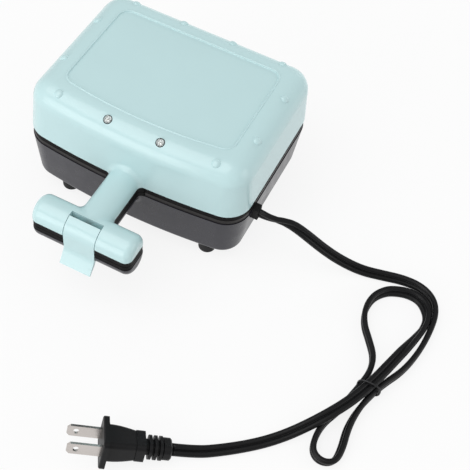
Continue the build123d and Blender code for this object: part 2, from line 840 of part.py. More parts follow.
def latch_clip():
    """The clip: a skin that follows the crossbar, drops past the parting and flares into a tab."""
    cy, cz = crossbar_y, lid_edge
    outer = handle_radius
    inner = outer - clip_thickness
    start = math.radians(clip_back_angle)
    front = cy - outer
    drop = cz - clip_drop
    tab = (front - clip_flare, drop - clip_flare_drop)
    middle = (start + math.pi) / 2
    lean_y, lean_z = clip_flare_lean
    share_y, share_z = clip_flare_middle
    inside_y, inside_z = clip_flare_middle_inside

    def on_arc(radius, angle):
        return (cy + radius * math.cos(angle), cz + radius * math.sin(angle))

    outside = [
        ThreePointArc(on_arc(outer, start), on_arc(outer, middle), (front, cz)),
        Line((front, cz), (front, drop)),
        Spline((front, drop), (front - share_y * clip_flare, drop - share_z * clip_flare_drop), tab,
               tangents=[(0, -1), (-lean_y, -lean_z)]),
    ]
    tip = (tab[0] + lean_z * clip_thickness * clip_tip_share,
           tab[1] - lean_y * clip_thickness * clip_tip_share)
    inside_front = front + clip_thickness
    inside = [
        Line(tab, tip),
        Spline(tip, (inside_front - inside_y * clip_flare, drop - inside_z * clip_flare_drop),
               (inside_front, drop),
               tangents=[(lean_y, lean_z), (0, 1)]),
        Line((inside_front, drop), (inside_front, cz)),
        ThreePointArc((inside_front, cz), on_arc(inner, middle), on_arc(inner, start)),
        Line(on_arc(inner, start), on_arc(outer, start)),
    ]
    profile = make_face(outside + inside)
    skin = extrude(Plane.YZ * profile, amount=clip_width / 2, both=True)

    hub = Pos(0, latch_pivot[0], latch_pivot[1]) * Rot(0, 90, 0) * Cylinder(latch_hub_radius, clip_width)
    web = block((-clip_width / 2, clip_width / 2),
                (latch_pivot[0] - latch_hub_radius - clip_web_reach, latch_pivot[0]),
                (latch_pivot[1] - clip_web_thickness / 2, latch_pivot[1] + clip_web_thickness / 2))
    inside_of_skin = Pos(0, cy, cz) * Rot(0, 90, 0) * Cylinder(inner + clip_web_overlap, clip_width + spare)
    clip = skin + hub + (web & inside_of_skin)
    spring_place = Pos(0, latch_pivot[0], latch_pivot[1]) * Rot(0, 90, 0)
    clip = clip - spring_place * Cylinder(latch_hub_radius + spring_room, latch_hub_gap)
    clip = clip - latch_bore(clip_width)

    tooth_top = catch_level() - catch_gap
    tooth = Polyline((inside_front - hook_root, tooth_top), (inside_front + hook_reach, tooth_top),
                     (inside_front - hook_root, tooth_top - hook_height), close=True)
    hook = extrude(Plane.YZ * make_face(tooth), amount=clip_width / 2 - hook_side, both=True)
    return one(clip + hook)


def catch_level():
    """The underside of the ledge that the hook snaps under."""
    return base_top - catch_height


def latch_pin():
    """The pin that the clip turns on, held in the channel's cheeks."""
    length = 2 * (channel_half + handle_wall - latch_pin_skin - latch_pin_play)
    return Pos(0, latch_pivot[0], latch_pivot[1]) * Rot(0, 90, 0) * Cylinder(latch_pin_radius, length)


def latch_spring():
    """A torsion spring round the pin, between the clip's hubs."""
    pitch = 2 * spring_wire + spring_turn_gap
    radius = latch_pin_radius + spring_wire + spring_bore_gap
    path = Helix(pitch=pitch, height=pitch * spring_turns, radius=radius)
    section = Plane(origin=path @ 0, z_dir=path % 0) * Circle(spring_wire)
    coil = sweep(section, path=path, is_frenet=True)
    place = Pos(-pitch * spring_turns / 2, latch_pivot[0], latch_pivot[1]) * Rot(0, 90, 0)
    return one(place * coil)


# Base

def base_shell():
    """The base's tub with its bosses and half of the T handle."""
    outer = drafted(base_bottom, base_top, base_draft, 0.0)
    outer = fillet(outer.edges().group_by(Axis.Z)[0], base_bottom_round)
    lower_half = handle_space(base_top - handle_radius - spare, base_top)
    handle = (Pos(0, 0, base_top) * handle_bars()) & lower_half
    shell = outer + handle
    shell = fillet(root_seam(shell, base_top - handle_radius, base_top), arm_root_blend)

    rate = base_draft / base_wall_height
    inner = drafted(base_bottom + base_wall, base_top + spare, base_wall + base_draft - rate * base_wall,
                    base_wall - rate * spare)
    inner = fillet(inner.edges().group_by(Axis.Z)[0], base_bottom_round - spare)
    boss_top = parting_middle - ledge_face - ledge_thickness - post_length
    bosses = [upright(x, y, boss_radius, base_bottom, boss_top) for x, y in four_corners(post_x, post_y)]
    seats = [slab(Pos(terminal_x, 0) * Rectangle(terminal_size[0], terminal_size[1]), base_bottom,
                  base_bottom + base_wall + terminal_pad),
             block((clamp_bar_x - clamp_bar_size[0] / 2, body_length / 2),
                   (exit_y - clamp_bar_size[1] / 2, exit_y + clamp_bar_size[1] / 2),
                   (base_bottom, clamp_seat()))]
    inner = inner - bosses - seats
    inside = (Pos(0, 0, base_top) * handle_bars(handle_wall)) & lower_half
    inside = inside - handle_posts(base_top - handle_radius, base_top)
    guard = block((-channel_half - handle_wall, channel_half + handle_wall),
                  (crossbar_y - handle_radius - spare, catch_face() + notch_depth + handle_wall),
                  (base_top - 2 * handle_radius, base_top + spare))
    shell = shell - inner - (inside - guard)

    for x, y in four_corners(post_x, post_y):
        shell = shell - upright(x, y, screw_radius + screw_clearance, base_bottom - spare, boss_top + spare)
        shell = shell - upright(x, y, screw_head_radius + screw_clearance, base_bottom - spare, screw_seat())
    for x, y in foot_points():
        shell = shell - upright(x, y, foot_stem_radius + foot_hole_clearance, base_bottom - spare,
                                base_bottom + base_wall + spare)
    shell = shell - block((body_length / 2 - exit_cut_in, body_length / 2 + exit_cut_out),
                          (exit_y - bushing_width / 2 - bushing_clearance,
                           exit_y + bushing_width / 2 + bushing_clearance),
                          (base_top - bushing_height - bushing_clearance, base_top + spare))
    shell = shell - clip_notch()
    for x in (-handle_screw_x, handle_screw_x):
        shell = shell - upright(x, crossbar_y, small_screw_radius + pin_clearance,
                                base_top - handle_screw_depth - spare, base_top + spare)
    pad_top = base_bottom + base_wall + terminal_pad
    for x, y in terminal_screw_points():
        shell = shell - upright(x, y, small_screw_radius + pin_clearance,
                                pad_top - terminal_screw_depth - blind_spare, pad_top + spare)
    for y in clamp_screw_ys():
        shell = shell - upright(clamp_bar_x, y, small_screw_radius + pin_clearance,
                                clamp_seat() - clamp_bar_screw_length, clamp_seat() + spare)
    return one(shell)


def catch_face():
    """How far out the ledge for the hook reaches, just clear of the hook's tip."""
    return crossbar_y - handle_radius + clip_thickness + hook_reach + catch_gap


def clip_notch():
    """The notch in the lower handle that the clip lies in, deeper below the ledge."""
    front = crossbar_y - handle_radius - 2 * spare
    low = base_top - handle_radius - 2 * spare
    ledge = block((-channel_half, channel_half), (front, catch_face()), (low, base_top + spare))
    under = block((-channel_half, channel_half), (front, catch_face() + catch_undercut), (low, catch_level()))
    return ledge + under


def screw_seat():
    """The level of the seat of the screws that come up through the base."""
    return base_bottom + case_screw_sink


def case_screws():
    """Four screws from under the base into the base frame's posts."""
    tip = parting_middle - ledge_face - ledge_thickness - case_screw_stop
    screws = []
    for x, y in four_corners(post_x, post_y):
        head = upright(x, y, screw_head_radius, screw_seat() - screw_head_height, screw_seat())
        shank = upright(x, y, screw_radius, screw_seat(), tip)
        drive = upright(x, y, drive_radius, screw_seat() - screw_head_height - spare,
                        screw_seat() - screw_head_height + drive_depth)
        screws.append(one(head + shank - drive))
    return screws


def lid_screws():
    """Four screws from the lid frame's ledge up into the cover's bosses."""
    seat = parting_middle + ledge_face + screw_head_height
    screws = []
    for x, y in four_corners(post_x, post_y):
        head = upright(x, y, screw_head_radius, seat - screw_head_height + head_setback, seat)
        shank = upright(x, y, screw_radius, seat, lid_skirt_top() + lid_screw_reach)
        drive = upright(x, y, drive_radius, seat - screw_head_height - spare,
                        seat - screw_head_height + drive_depth)
        screws.append(one(head + shank - drive))
    return screws


def foot_points():
    """Where the feet stand, left then right, front before back."""
    return [(foot_shift + x, y) for x in (-foot_x, foot_x) for y in (foot_front_y, foot_back_y)]


def foot(x, y):
    """A rubber foot: a tapered, round edged pad, a stem and a barb that pops through the floor."""
    pad = loft([Pos(x, y, 0) * Circle(foot_tip_radius), Pos(x, y, base_bottom) * Circle(foot_radius)],
               ruled=True)
    pad = fillet(pad.edges().group_by(Axis.Z)[0], foot_round)
    stem = upright(x, y, foot_stem_radius, base_bottom, base_bottom + base_wall + foot_flange_height)
    barb = upright(x, y, foot_flange_radius, base_bottom + base_wall,
                   base_bottom + base_wall + foot_flange_height)
    return one(pad + stem + barb)


# Cooking plates and what heats them

def pocket_section(level, grow):
    """The pocket's outline at a level, grown outwards all round."""
    outline = RectangleRounded(pocket_length + 2 * grow, pocket_depth + 2 * grow, pocket_corner + grow)
    return Pos(0, 0, level) * outline


def plate():
    """The base's cooking plate: a rim, a drafted pocket with a crimp round it, and the clamp's boss."""
    face_level = parting_middle - plate_face
    rim = slab(RectangleRounded(plate_length, plate_depth, plate_corner), parting_middle - ledge_face,
               face_level)
    outer_bottom = parting_middle - pocket_outer
    outer = loft([pocket_section(outer_bottom, plate_wall - pocket_draft),
                  pocket_section(face_level - spare, plate_wall)], ruled=True)
    outer = fillet(outer.edges().group_by(Axis.Z)[0], pocket_outer_round)
    rate = spare * pocket_draft / pocket_height
    pocket = loft([pocket_section(face_level - pocket_height, -pocket_draft),
                   pocket_section(face_level + spare, rate)], ruled=True)
    pocket = fillet(pocket.edges().group_by(Axis.Z)[0], pocket_round)
    boss = upright(0, 0, clamp_boss_radius, parting_middle - clamp_face, outer_bottom + spare)
    body = rim + outer + boss - pocket
    groove_out = crimp_margin + crimp_width
    groove = slab(pocket_section(0, groove_out), face_level - crimp_depth, face_level + spare)
    groove = groove - slab(pocket_section(0, crimp_margin), face_level - 2 * spare, face_level + 2 * spare)
    body = body - groove
    body = body - upright(0, 0, screw_radius + pin_clearance, parting_middle - clamp_face - spare,
                          outer_bottom - clamp_hole_stop)
    body = body - plate_screw_bores(screw_radius + screw_clearance, parting_middle - ledge_face - spare,
                                    face_level + spare)
    body = body - plate_screw_bores(plate_seat_radius, face_level - plate_seat_depth, face_level + spare)
    return one(body)


def plate_screws():
    """Two screws that hold a plate on its frame's ledge."""
    face_level = parting_middle - plate_face
    seat = face_level - plate_seat_depth
    top = face_level - head_setback
    screws = []
    for x in (-plate_screw_x, plate_screw_x):
        head = upright(x, 0, small_head_radius, seat, top)
        tip = parting_middle - ledge_face - plate_screw_length + plate_screw_stop
        shank = upright(x, 0, screw_radius, tip, seat)
        drive = upright(x, 0, small_drive_radius, top - small_drive_depth, face_level + spare)
        screws.append(one(head + shank - drive))
    return screws


def heater():
    """The base's U shaped element with its two terminal pins."""
    half = heater_leg_spacing / 2
    level = parting_middle - heater_centre
    legs = heater_leg_length / 2
    bend_x = -legs + half
    path = Line((legs, -half, level), (bend_x, -half, level))
    path = path + ThreePointArc((bend_x, -half, level), (bend_x - half, 0, level), (bend_x, half, level))
    path = path + Line((bend_x, half, level), (legs, half, level))
    tube = sweep(Plane(origin=(legs, -half, level), z_dir=(-1, 0, 0)) * Circle(heater_radius), path=path)
    for y in (-half, half):
        pin = Cylinder(heater_pin_radius, heater_pin_length)
        tube = tube + Pos(legs + heater_pin_length / 2, y, level) * Rot(0, 90, 0) * pin
    return one(tube)


def heater_clamp():
    """The strap across both legs of the element."""
    half = heater_leg_spacing / 2 + heater_radius + clamp_overhang
    strap = block((-clamp_width / 2, clamp_width / 2), (-half, half),
                  (parting_middle - shield_face, parting_middle - clamp_face))
    strap = fillet(strap.edges().filter_by(Axis.Z), clamp_corner)
    return one(strap - upright(0, 0, screw_radius + screw_clearance, 0, parting_middle))


def heat_shield():
    """The pressed tray behind the element, lipped towards the plate."""
    back = parting_middle - shield_back
    face = parting_middle - shield_face
    tray = slab(RectangleRounded(shield_length, shield_depth, shield_corner), back, face + shield_lip)
    hollow = slab(RectangleRounded(shield_length - 2 * shield_thickness, shield_depth - 2 * shield_thickness,
                                   shield_corner - shield_thickness), face, face + shield_lip + spare)
    return one(tray - hollow - upright(0, 0, screw_radius + screw_clearance, 0, parting_middle))


def clamp_screw():
    """The screw through shield and strap into the plate's boss."""
    back = parting_middle - shield_back
    head = upright(0, 0, screw_head_radius, back - screw_head_height, back)
    shank = upright(0, 0, screw_radius, back, parting_middle - pocket_outer - clamp_tip_gap)
    drive = upright(0, 0, drive_radius, back - screw_head_height - spare,
                    back - screw_head_height + drive_depth)
    return one(head + shank - drive)


def thermostat():
    """The disc thermostat on the back of the lid's plate, with its two tabs."""
    back = parting_middle + pocket_outer
    top = back + thermostat_height
    disc = upright(thermostat_x, 0, thermostat_radius, back, top - thermostat_step)
    cap = upright(thermostat_x, 0, thermostat_radius - thermostat_cap_inset, back, top)
    tabs = [Pos(thermostat_x, y, top - tab_sink + tab_size[2] / 2) * Box(*tab_size)
            for y in (-tab_spacing / 2, tab_spacing / 2)]
    return one(disc + cap + tabs)


def thermal_fuse():
    """The cut-out in its sleeve on the back of the base's plate, with its leads."""
    level = parting_middle - pocket_outer - heater_seat_gap - fuse_radius
    body = Pos(0, fuse_y, level) * Rot(0, 90, 0) * Cylinder(fuse_radius, fuse_length)
    whole = fuse_length + 2 * fuse_lead_length
    leads = Pos(0, fuse_y, level) * Rot(0, 90, 0) * Cylinder(fuse_lead_radius, whole)
    return one(body + leads)


# Lamps

def lamp(plane):
    """A clear lamp: a domed body with a flange that sits on the board."""
    length = lamp_height - lamp_radius
    base = -(lamp_height - lamp_rise)
    shaft = Pos(0, 0, base + length / 2) * Cylinder(lamp_radius, length)
    dome = Pos(0, 0, base + length) * Sphere(lamp_radius)
    flange = Pos(0, 0, base + lamp_flange_height / 2) * Cylinder(lamp_flange_radius, lamp_flange_height)
    return one(Location(plane) * (shaft + dome + flange))


def lamp_board():
    """The board that carries both lamps, square to their axes."""
    left, right = lamp_planes()
    centre = Plane(origin=(0, left.origin.Y, left.origin.Z), x_dir=(1, 0, 0), z_dir=left.z_dir)
    level = -(lamp_height - lamp_rise) - board_thickness / 2
    length = right.origin.X - left.origin.X + 2 * board_overhang
    board = Pos(0, 0, level) * Box(length, board_depth, board_thickness)
    for x in board_screw_places():
        hole = Cylinder(small_screw_radius + screw_clearance, board_thickness + spare)
        board = board - Pos(x, 0, level) * hole
    return one(Location(centre) * board)


def board_screw_places():
    """Where the board's two screws stand along it."""
    return [-dome_pitch / 2 + board_screw_x, dome_pitch / 2 - board_screw_x]


def lamp_board_screws():
    """Two screws that hold the board on the cover's posts."""
    left = lamp_planes()[0]
    centre = Plane(origin=(0, left.origin.Y, left.origin.Z), x_dir=(1, 0, 0), z_dir=left.z_dir)
    face = -(lamp_height - lamp_rise) - board_thickness
    screws = []
    for x in board_screw_places():
        head = Pos(x, 0, face - small_head_height / 2) * Cylinder(small_head_radius, small_head_height)
        shank = Pos(x, 0, face + board_screw_length / 2) * Cylinder(small_screw_radius, board_screw_length)
        screws.append(one(Location(centre) * (head + shank)))
    return screws


# Cord exit and terminals

def cord_bushing():
    """The bushing in the right wall, closed above by the base frame, with a collar inside."""
    wall_x = body_length / 2
    low = base_top - bushing_height
    inner_x = wall_x - base_wall - base_draft * bushing_height / base_wall_height - bushing_collar
    body = block((inner_x, wall_x + bushing_reach),
                 (exit_y - bushing_width / 2, exit_y + bushing_width / 2), (low, base_top))
    outer_edges = body.edges().filter_by(Axis.X)
    body = fillet(outer_edges.group_by(Axis.Z)[0], bushing_round)
    body = body - block((inner_x - spare, wall_x + bushing_reach + spare),
                        (exit_y - cord_slot_width / 2, exit_y + cord_slot_width / 2),
                        (base_top - bushing_height / 2 - cord_slot_height / 2,
                         base_top - bushing_height / 2 + cord_slot_height / 2))
    return one(body)


def clamp_seat():
    """The level of the pad under the cord's clamp bar."""
    return base_top - bushing_height / 2 - cord_slot_height / 2 - clamp_seat_drop


def clamp_screw_ys():
    """Where the clamp bar's two screws stand."""
    reach = clamp_bar_size[1] / 2 - clamp_bar_screw_end
    return [exit_y - reach, exit_y + reach]


def cord_clamp():
    """The bar that holds the cord down inside the base."""
    level = clamp_seat()
    x, y, height = clamp_bar_size
    bar = block((clamp_bar_x - x / 2, clamp_bar_x + x / 2), (exit_y - y / 2, exit_y + y / 2),
                (level, level + height))
    bar = fillet(bar.edges().filter_by(Axis.Z), clamp_bar_round)
    for place in clamp_screw_ys():
        bar = bar - upright(clamp_bar_x, place, small_screw_radius + screw_clearance, level - spare,
                            level + height + spare)
    return one(bar)


def clamp_bar_screws():
    """Two screws that hold the clamp bar."""
    top = clamp_seat() + clamp_bar_size[2]
    screws = []
    for y in clamp_screw_ys():
        head = upright(clamp_bar_x, y, small_head_radius, top, top + small_head_height)
        shank = upright(clamp_bar_x, y, small_screw_radius, top - clamp_bar_screw_length, top)
        screws.append(one(head + shank))
    return screws


def terminal_screw_points():
    """Where the terminal block is screwed to the floor."""
    reach = terminal_size[1] / 2 - terminal_screw_end
    return [(terminal_x, -reach), (terminal_x, reach)]


def terminal_block():
    """The ceramic terminal block with its three wire tunnels."""
    low = base_bottom + base_wall + terminal_pad
    x, y, z = terminal_size
    body = block((terminal_x - x / 2, terminal_x + x / 2), (-y / 2, y / 2), (low, low + z))
    body = fillet(body.edges().filter_by(Axis.Z), terminal_round)
    for place in (-terminal_pitch, 0, terminal_pitch):
        tunnel = Pos(terminal_x, place, low + z / 2) * Rot(0, 90, 0) * Cylinder(tunnel_radius, x + 2 * spare)
        access = upright(terminal_x, place, tunnel_access_radius, low + z / 2, low + z + spare)
        body = body - tunnel - access
    for px, py in terminal_screw_points():
        body = body - upright(px, py, small_screw_radius + screw_clearance, low - spare, low + z + spare)
        body = body - upright(px, py, terminal_sink_radius, low + terminal_sink_height, low + z + spare)
    return one(body)


def terminal_screws():
    """Two screws that hold the terminal block."""
    low = base_bottom + base_wall + terminal_pad
    screws = []
    for x, y in terminal_screw_points():
        seat = low + terminal_sink_height
        head = upright(x, y, small_head_radius, seat, seat + small_head_height)
        shank = upright(x, y, small_screw_radius, low - terminal_screw_depth, seat)
        screws.append(one(head + shank))
    return screws


# Plug

def plug_plane():
    """The plug's frame: origin at the flange's face, X across the blades, Z along them."""
    yaw, pitch, roll = (math.radians(v) for v in (plug_yaw, plug_pitch, plug_roll))
    ahead = Vector(math.cos(pitch) * math.cos(yaw), math.cos(pitch) * math.sin(yaw), math.sin(pitch))
    level = Vector(-math.sin(yaw), math.cos(yaw), 0)
    rise = ahead.cross(level)
    rise = rise if rise.Z > 0 else rise * -1
    across = level * math.cos(roll) + rise * math.sin(roll)
    centre = (exit_corner[0] + plug_offset[0], exit_corner[1] + plug_offset[1], plug_offset[2])
    return Plane(origin=centre, x_dir=across, z_dir=ahead)


def relief_end():
    """How far behind the flange's face the plug ends."""
    ribs = rib_count * rib_pitch + rib_pitch / 2
    return flange_thickness + flange_step + plug_body_length + collar_length + ribs + relief_length


def plug_body():
    """The moulded plug: stepped flange, barrel, collar, ribs and end block."""
    flange = RectangleRounded(flange_width, flange_height, flange_corner)
    body = extrude(flange, amount=-flange_thickness)
    body = chamfer(body.edges().group_by(Axis.Z)[-1], flange_edge)
    step = RectangleRounded(plug_body_width[0] + 2 * flange_step_rim,
                            plug_body_height[0] + 2 * flange_step_rim,
                            flange_corner)
    body = body + extrude(Pos(0, 0, -flange_thickness) * step, amount=-flange_step)
    start = -flange_thickness - flange_step
    sections = [Pos(0, 0, start - share * plug_body_length)
                * RectangleRounded(width, height, plug_body_corner)
                for share, width, height in zip(plug_body_steps, plug_body_width, plug_body_height)]
    body = body + loft(sections)
    end = start - plug_body_length
    collar = RectangleRounded(collar_width, collar_height, collar_corner)
    body = body + extrude(Pos(0, 0, end) * collar, amount=-collar_length)
    end = end - collar_length
    neck_end = -relief_end() + relief_length
    neck = RectangleRounded(neck_width, neck_height, neck_corner)
    body = body + extrude(Pos(0, 0, neck_end - spare) * neck, amount=end - neck_end + 2 * spare)
    for index in range(rib_count):
        middle = end - rib_pitch * (index + 1)
        rib = RectangleRounded(rib_width, rib_height, rib_corner)
        body = body + extrude(Pos(0, 0, middle - rib_thickness / 2) * rib, amount=rib_thickness)
    relief = RectangleRounded(relief_width, relief_height, relief_corner)
    block_end = extrude(Pos(0, 0, -relief_end()) * relief, amount=relief_length)
    block_end = chamfer(block_end.edges().group_by(Axis.Z)[0], relief_edge)
    return one(Location(plug_plane()) * (body + block_end))


def plug_blades():
    """Two flat blades with their holes and cut corners."""
    blades = []
    for side in (-1, 1):
        place = Pos(side * blade_spacing / 2, 0, blade_length / 2)
        blade = place * Box(blade_thickness, blade_width, blade_length)
        corners = blade.edges().filter_by(Axis.X).group_by(Axis.Z)[-1]
        blade = chamfer(corners, blade_chamfer)
        place = Pos(side * blade_spacing / 2, 0, blade_length - blade_hole_back) * Rot(0, 90, 0)
        blade = blade - place * Cylinder(blade_hole_radius, blade_thickness + spare)
        blades.append(one(Location(plug_plane()) * blade))
    return blades


# Cord

def cord_route():
    """The corners of the cord's run, from the bushing to the plug, laid loosely on the floor."""
    start = (exit_corner[0] + bushing_reach + cord_gap, exit_corner[1], cord_exit_level)
    rear = plug_plane().origin - plug_plane().z_dir * relief_end()
    before = rear - plug_plane().z_dir * cord_plug_run
    corners = [(exit_corner[0] + x, exit_corner[1] + y, z) for x, y, z in cord_corners]
    return [start, *corners, (before.X, before.Y, before.Z), (rear.X, rear.Y, rear.Z)]


def cord_radii(route):
    """The radius of the arc at each corner: a set share of the shorter run beside it."""
    radii = []
    for before, here, after in zip(route, route[1:], route[2:]):
        inward, outward = Vector(*here) - Vector(*before), Vector(*after) - Vector(*here)
        turn = math.radians(inward.get_angle(outward))
        radii.append(cord_bend_share * min(inward.length, outward.length) / math.tan(turn / 2))
    return radii


def power_cord():
    """The cord as straight runs joined by tangent arcs."""
    route = cord_route()
    radii = cord_radii(route)
    path = FilletPolyline(*route, radius=radii)
    section = Plane(origin=path @ 0, z_dir=path % 0) * Circle(cord_diameter / 2)
    tube = one(sweep(section, path=path))
    runs = [(Vector(*b) - Vector(*a)).length for a, b in zip(route, route[1:])]
    ideal = path.length * math.pi * cord_diameter ** 2 / 4
    print("cord length", round(path.length, 1), "volume share", round(tube.volume / ideal, 4))
    print("cord radii", [round(r, 1) for r in radii], "runs", [round(r, 1) for r in runs])
    return tube


def cord_tie():
    """The wire tie round the folded strands, three deep."""
    height = 2 * cord_diameter + 4 * tie_gap
    path = Wire(RectangleRounded(tie_width + tie_wire, height + tie_wire, tie_corner).edges())
    heading = math.radians(tie_heading)
    ahead = (math.cos(heading), math.sin(heading), 0)
    across = (-math.sin(heading), math.cos(heading), 0)
    middle = (exit_corner[0] + tie_offset[0], exit_corner[1] + tie_offset[1],
              height / 2 + tie_wire + tie_gap / 2)
    plane = Plane(origin=middle, x_dir=across, z_dir=ahead)
    path = plane * path
    section = Plane(origin=path @ 0, z_dir=path % 0) * Circle(tie_wire / 2)
    return one(sweep(section, path=path))


def nodes():
    """Every piece by its node's name."""
    lower_plate = plate()
    left_lamp, right_lamp = lamp_planes()
    pieces = {
        "lid_cover": [lid_cover()],
        "lid_frame": [lid_frame()],
        "upper_handle_strip": [upper_handle_strip()],
        "latch_clip": [latch_clip()],
        "latch_pin": [latch_pin()],
        "latch_spring": [latch_spring()],
        "power_lamp": [lamp(left_lamp)],
        "ready_lamp": [lamp(right_lamp)],
        "lamp_board": [lamp_board()],
        "lamp_board_screws": lamp_board_screws(),
        "upper_plate": [flipped(lower_plate)],
        "upper_plate_screws": [flipped(s) for s in plate_screws()],
        "upper_heater": [flipped(heater())],
        "upper_heater_clamp": [flipped(heater_clamp())],
        "upper_heat_shield": [flipped(heat_shield())],
        "upper_clamp_screw": [flipped(clamp_screw())],
        "thermostat": [thermostat()],
        "lid_screws": lid_screws(),
        "upper_handle_screws": handle_screws(parting_high + handle_head_setback,
                                             lid_edge + handle_screw_depth),
        "base_shell": [base_shell()],
        "base_frame": [base_frame()],
        "lower_handle_strip": [lower_handle_strip()],
        "lower_plate": [lower_plate],
        "lower_plate_screws": plate_screws(),
        "lower_heater": [heater()],
        "lower_heater_clamp": [heater_clamp()],
        "lower_heat_shield": [heat_shield()],
        "lower_clamp_screw": [clamp_screw()],
        "thermal_fuse": [thermal_fuse()],
        "terminal_block": [terminal_block()],
        "terminal_screws": terminal_screws(),
        "cord_bushing": [cord_bushing()],
        "cord_clamp": [cord_clamp()],
        "clamp_bar_screws": clamp_bar_screws(),
        "case_screws": case_screws(),
        "lower_handle_screws": handle_screws(parting_low - handle_head_setback,
                                             base_top - handle_screw_depth),
        "left_hinge_pin": [hinge_pin(-hinge_x)],
        "right_hinge_pin": [hinge_pin(hinge_x)],
        "power_cord": [power_cord()],
        "cord_tie": [cord_tie()],
        "plug_body": [plug_body()],
        "plug_blades": plug_blades(),
    }
    names = ("front_left_foot", "back_left_foot", "front_right_foot", "back_right_foot")
    for name, (x, y) in zip(names, foot_points()):
        pieces[name] = [foot(x, y)]
    return pieces


os.makedirs("parts", exist_ok=True)
for node, solids in nodes().items():
    placed = [Pos(-middle_x, -middle_y, 0) * solid for solid in solids]
    export_step(placed[0] if len(placed) == 1 else Compound(children=placed), f"parts/{node}.step")
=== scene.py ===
"""Look of the small countertop sandwich maker: finishes, screws, relief, lamps, cord, tie and stage.

Sizes are in millimetres about the middle of the body, as in the model's source, and at() turns them
into metres in the frame.
"""
import logging
import math
from dataclasses import dataclass, field
from enum import Enum
from typing import Iterable, Sequence

import bmesh
import bpy
from mathutils import Matrix, Vector


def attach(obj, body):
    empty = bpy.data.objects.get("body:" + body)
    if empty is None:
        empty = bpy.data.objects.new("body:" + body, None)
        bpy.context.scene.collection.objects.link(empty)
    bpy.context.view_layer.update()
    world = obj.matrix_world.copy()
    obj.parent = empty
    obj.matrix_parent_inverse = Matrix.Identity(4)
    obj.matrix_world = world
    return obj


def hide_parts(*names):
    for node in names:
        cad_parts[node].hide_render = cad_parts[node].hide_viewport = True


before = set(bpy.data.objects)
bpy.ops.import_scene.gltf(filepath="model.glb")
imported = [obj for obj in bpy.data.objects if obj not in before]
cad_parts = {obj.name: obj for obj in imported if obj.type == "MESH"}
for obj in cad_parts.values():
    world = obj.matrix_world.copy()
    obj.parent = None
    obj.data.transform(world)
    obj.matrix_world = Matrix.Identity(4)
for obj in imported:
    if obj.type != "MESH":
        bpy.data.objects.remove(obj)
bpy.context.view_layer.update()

log = logging.getLogger("sandwich_maker")

Tree, Node, Socket = bpy.types.NodeTree, bpy.types.Node, bpy.types.NodeSocket
Object = bpy.types.Object
Pair, Triple = tuple[float, float], tuple[float, float, float]
Section = Sequence[Pair]

MM = 0.001
MIDDLE = Vector((1.7, -24.35, 0.0))


def at(x: float, y: float, z: float = 0.0) -> Vector:
    """Turns a place about the body's middle, in millimetres, into the frame's metres."""
    return (Vector((x, y, z)) - MIDDLE) * MM


def srgb(code: str) -> tuple[float, float, float, float]:
    """Turns an sRGB hex colour into linear RGBA.

    Args:
        code: six hex digits.

    Returns:
        The linear colour, opaque.
    """
    parts = [int(code[i:i + 2], 16) / 255 for i in (0, 2, 4)]
    linear = [p / 12.92 if p <= 0.04045 else ((p + 0.055) / 1.055) ** 2.4 for p in parts]
    return (*linear, 1.0)


def first(feed: Node | Socket) -> Socket:
    """A socket itself, or a node's first output."""
    return feed.outputs[0] if isinstance(feed, Node) else feed


def add(tree: Tree, kind: str, inputs: dict | None = None, **settings) -> Node:
    """Adds a node, sets it up and links it.

    Args:
        tree: the tree that gets the node.
        kind: the node's type.
        inputs: input name or index to a constant, or to the socket or node that feeds it, or to a
            list of these. A node feeds it with its first output.
        settings: the node's own properties.

    Returns:
        The new node.
    """
    made = tree.nodes.new(kind)
    for key, value in settings.items():
        setattr(made, key, value)
    for key, value in (inputs or {}).items():
        for feed in value if isinstance(value, list) else [value]:
            if isinstance(feed, (Node, Socket)):
                tree.links.new(first(feed), made.inputs[key])
            else:
                made.inputs[key].default_value = feed
    return made


def calc(tree: Tree, operation: str, *values: float | Node | Socket) -> Node:
    """A new maths node that works on the values in order."""
    return add(tree, "ShaderNodeMath", dict(enumerate(values)), operation=operation)


def linked(name: str, data: bpy.types.ID) -> Object:
    """Makes an object and links it to the scene.

    Args:
        name: the object's name.
        data: its mesh, curve, lamp or camera.

    Returns:
        The object.
    """
    made = bpy.data.objects.new(name, data)
    bpy.context.scene.collection.objects.link(made)
    return made


def grown_mesh(host: Object) -> bpy.types.Mesh:
    """The mesh that an object's curve or modifiers give."""
    bpy.context.view_layer.update()
    return bpy.data.meshes.new_from_object(host.evaluated_get(bpy.context.evaluated_depsgraph_get()))


# Finishes

# The span that most of a noise lies in, then scale and detail of patches of colour and of gloss
NOISE_SPAN, COLOUR_PATCHES, GLOSS_PATCHES = (0.3, 0.7), (45.0, 3.0), (160.0, 4.0)
FINE_DETAIL, LEAST_ROUGHNESS = 2.0, 0.02


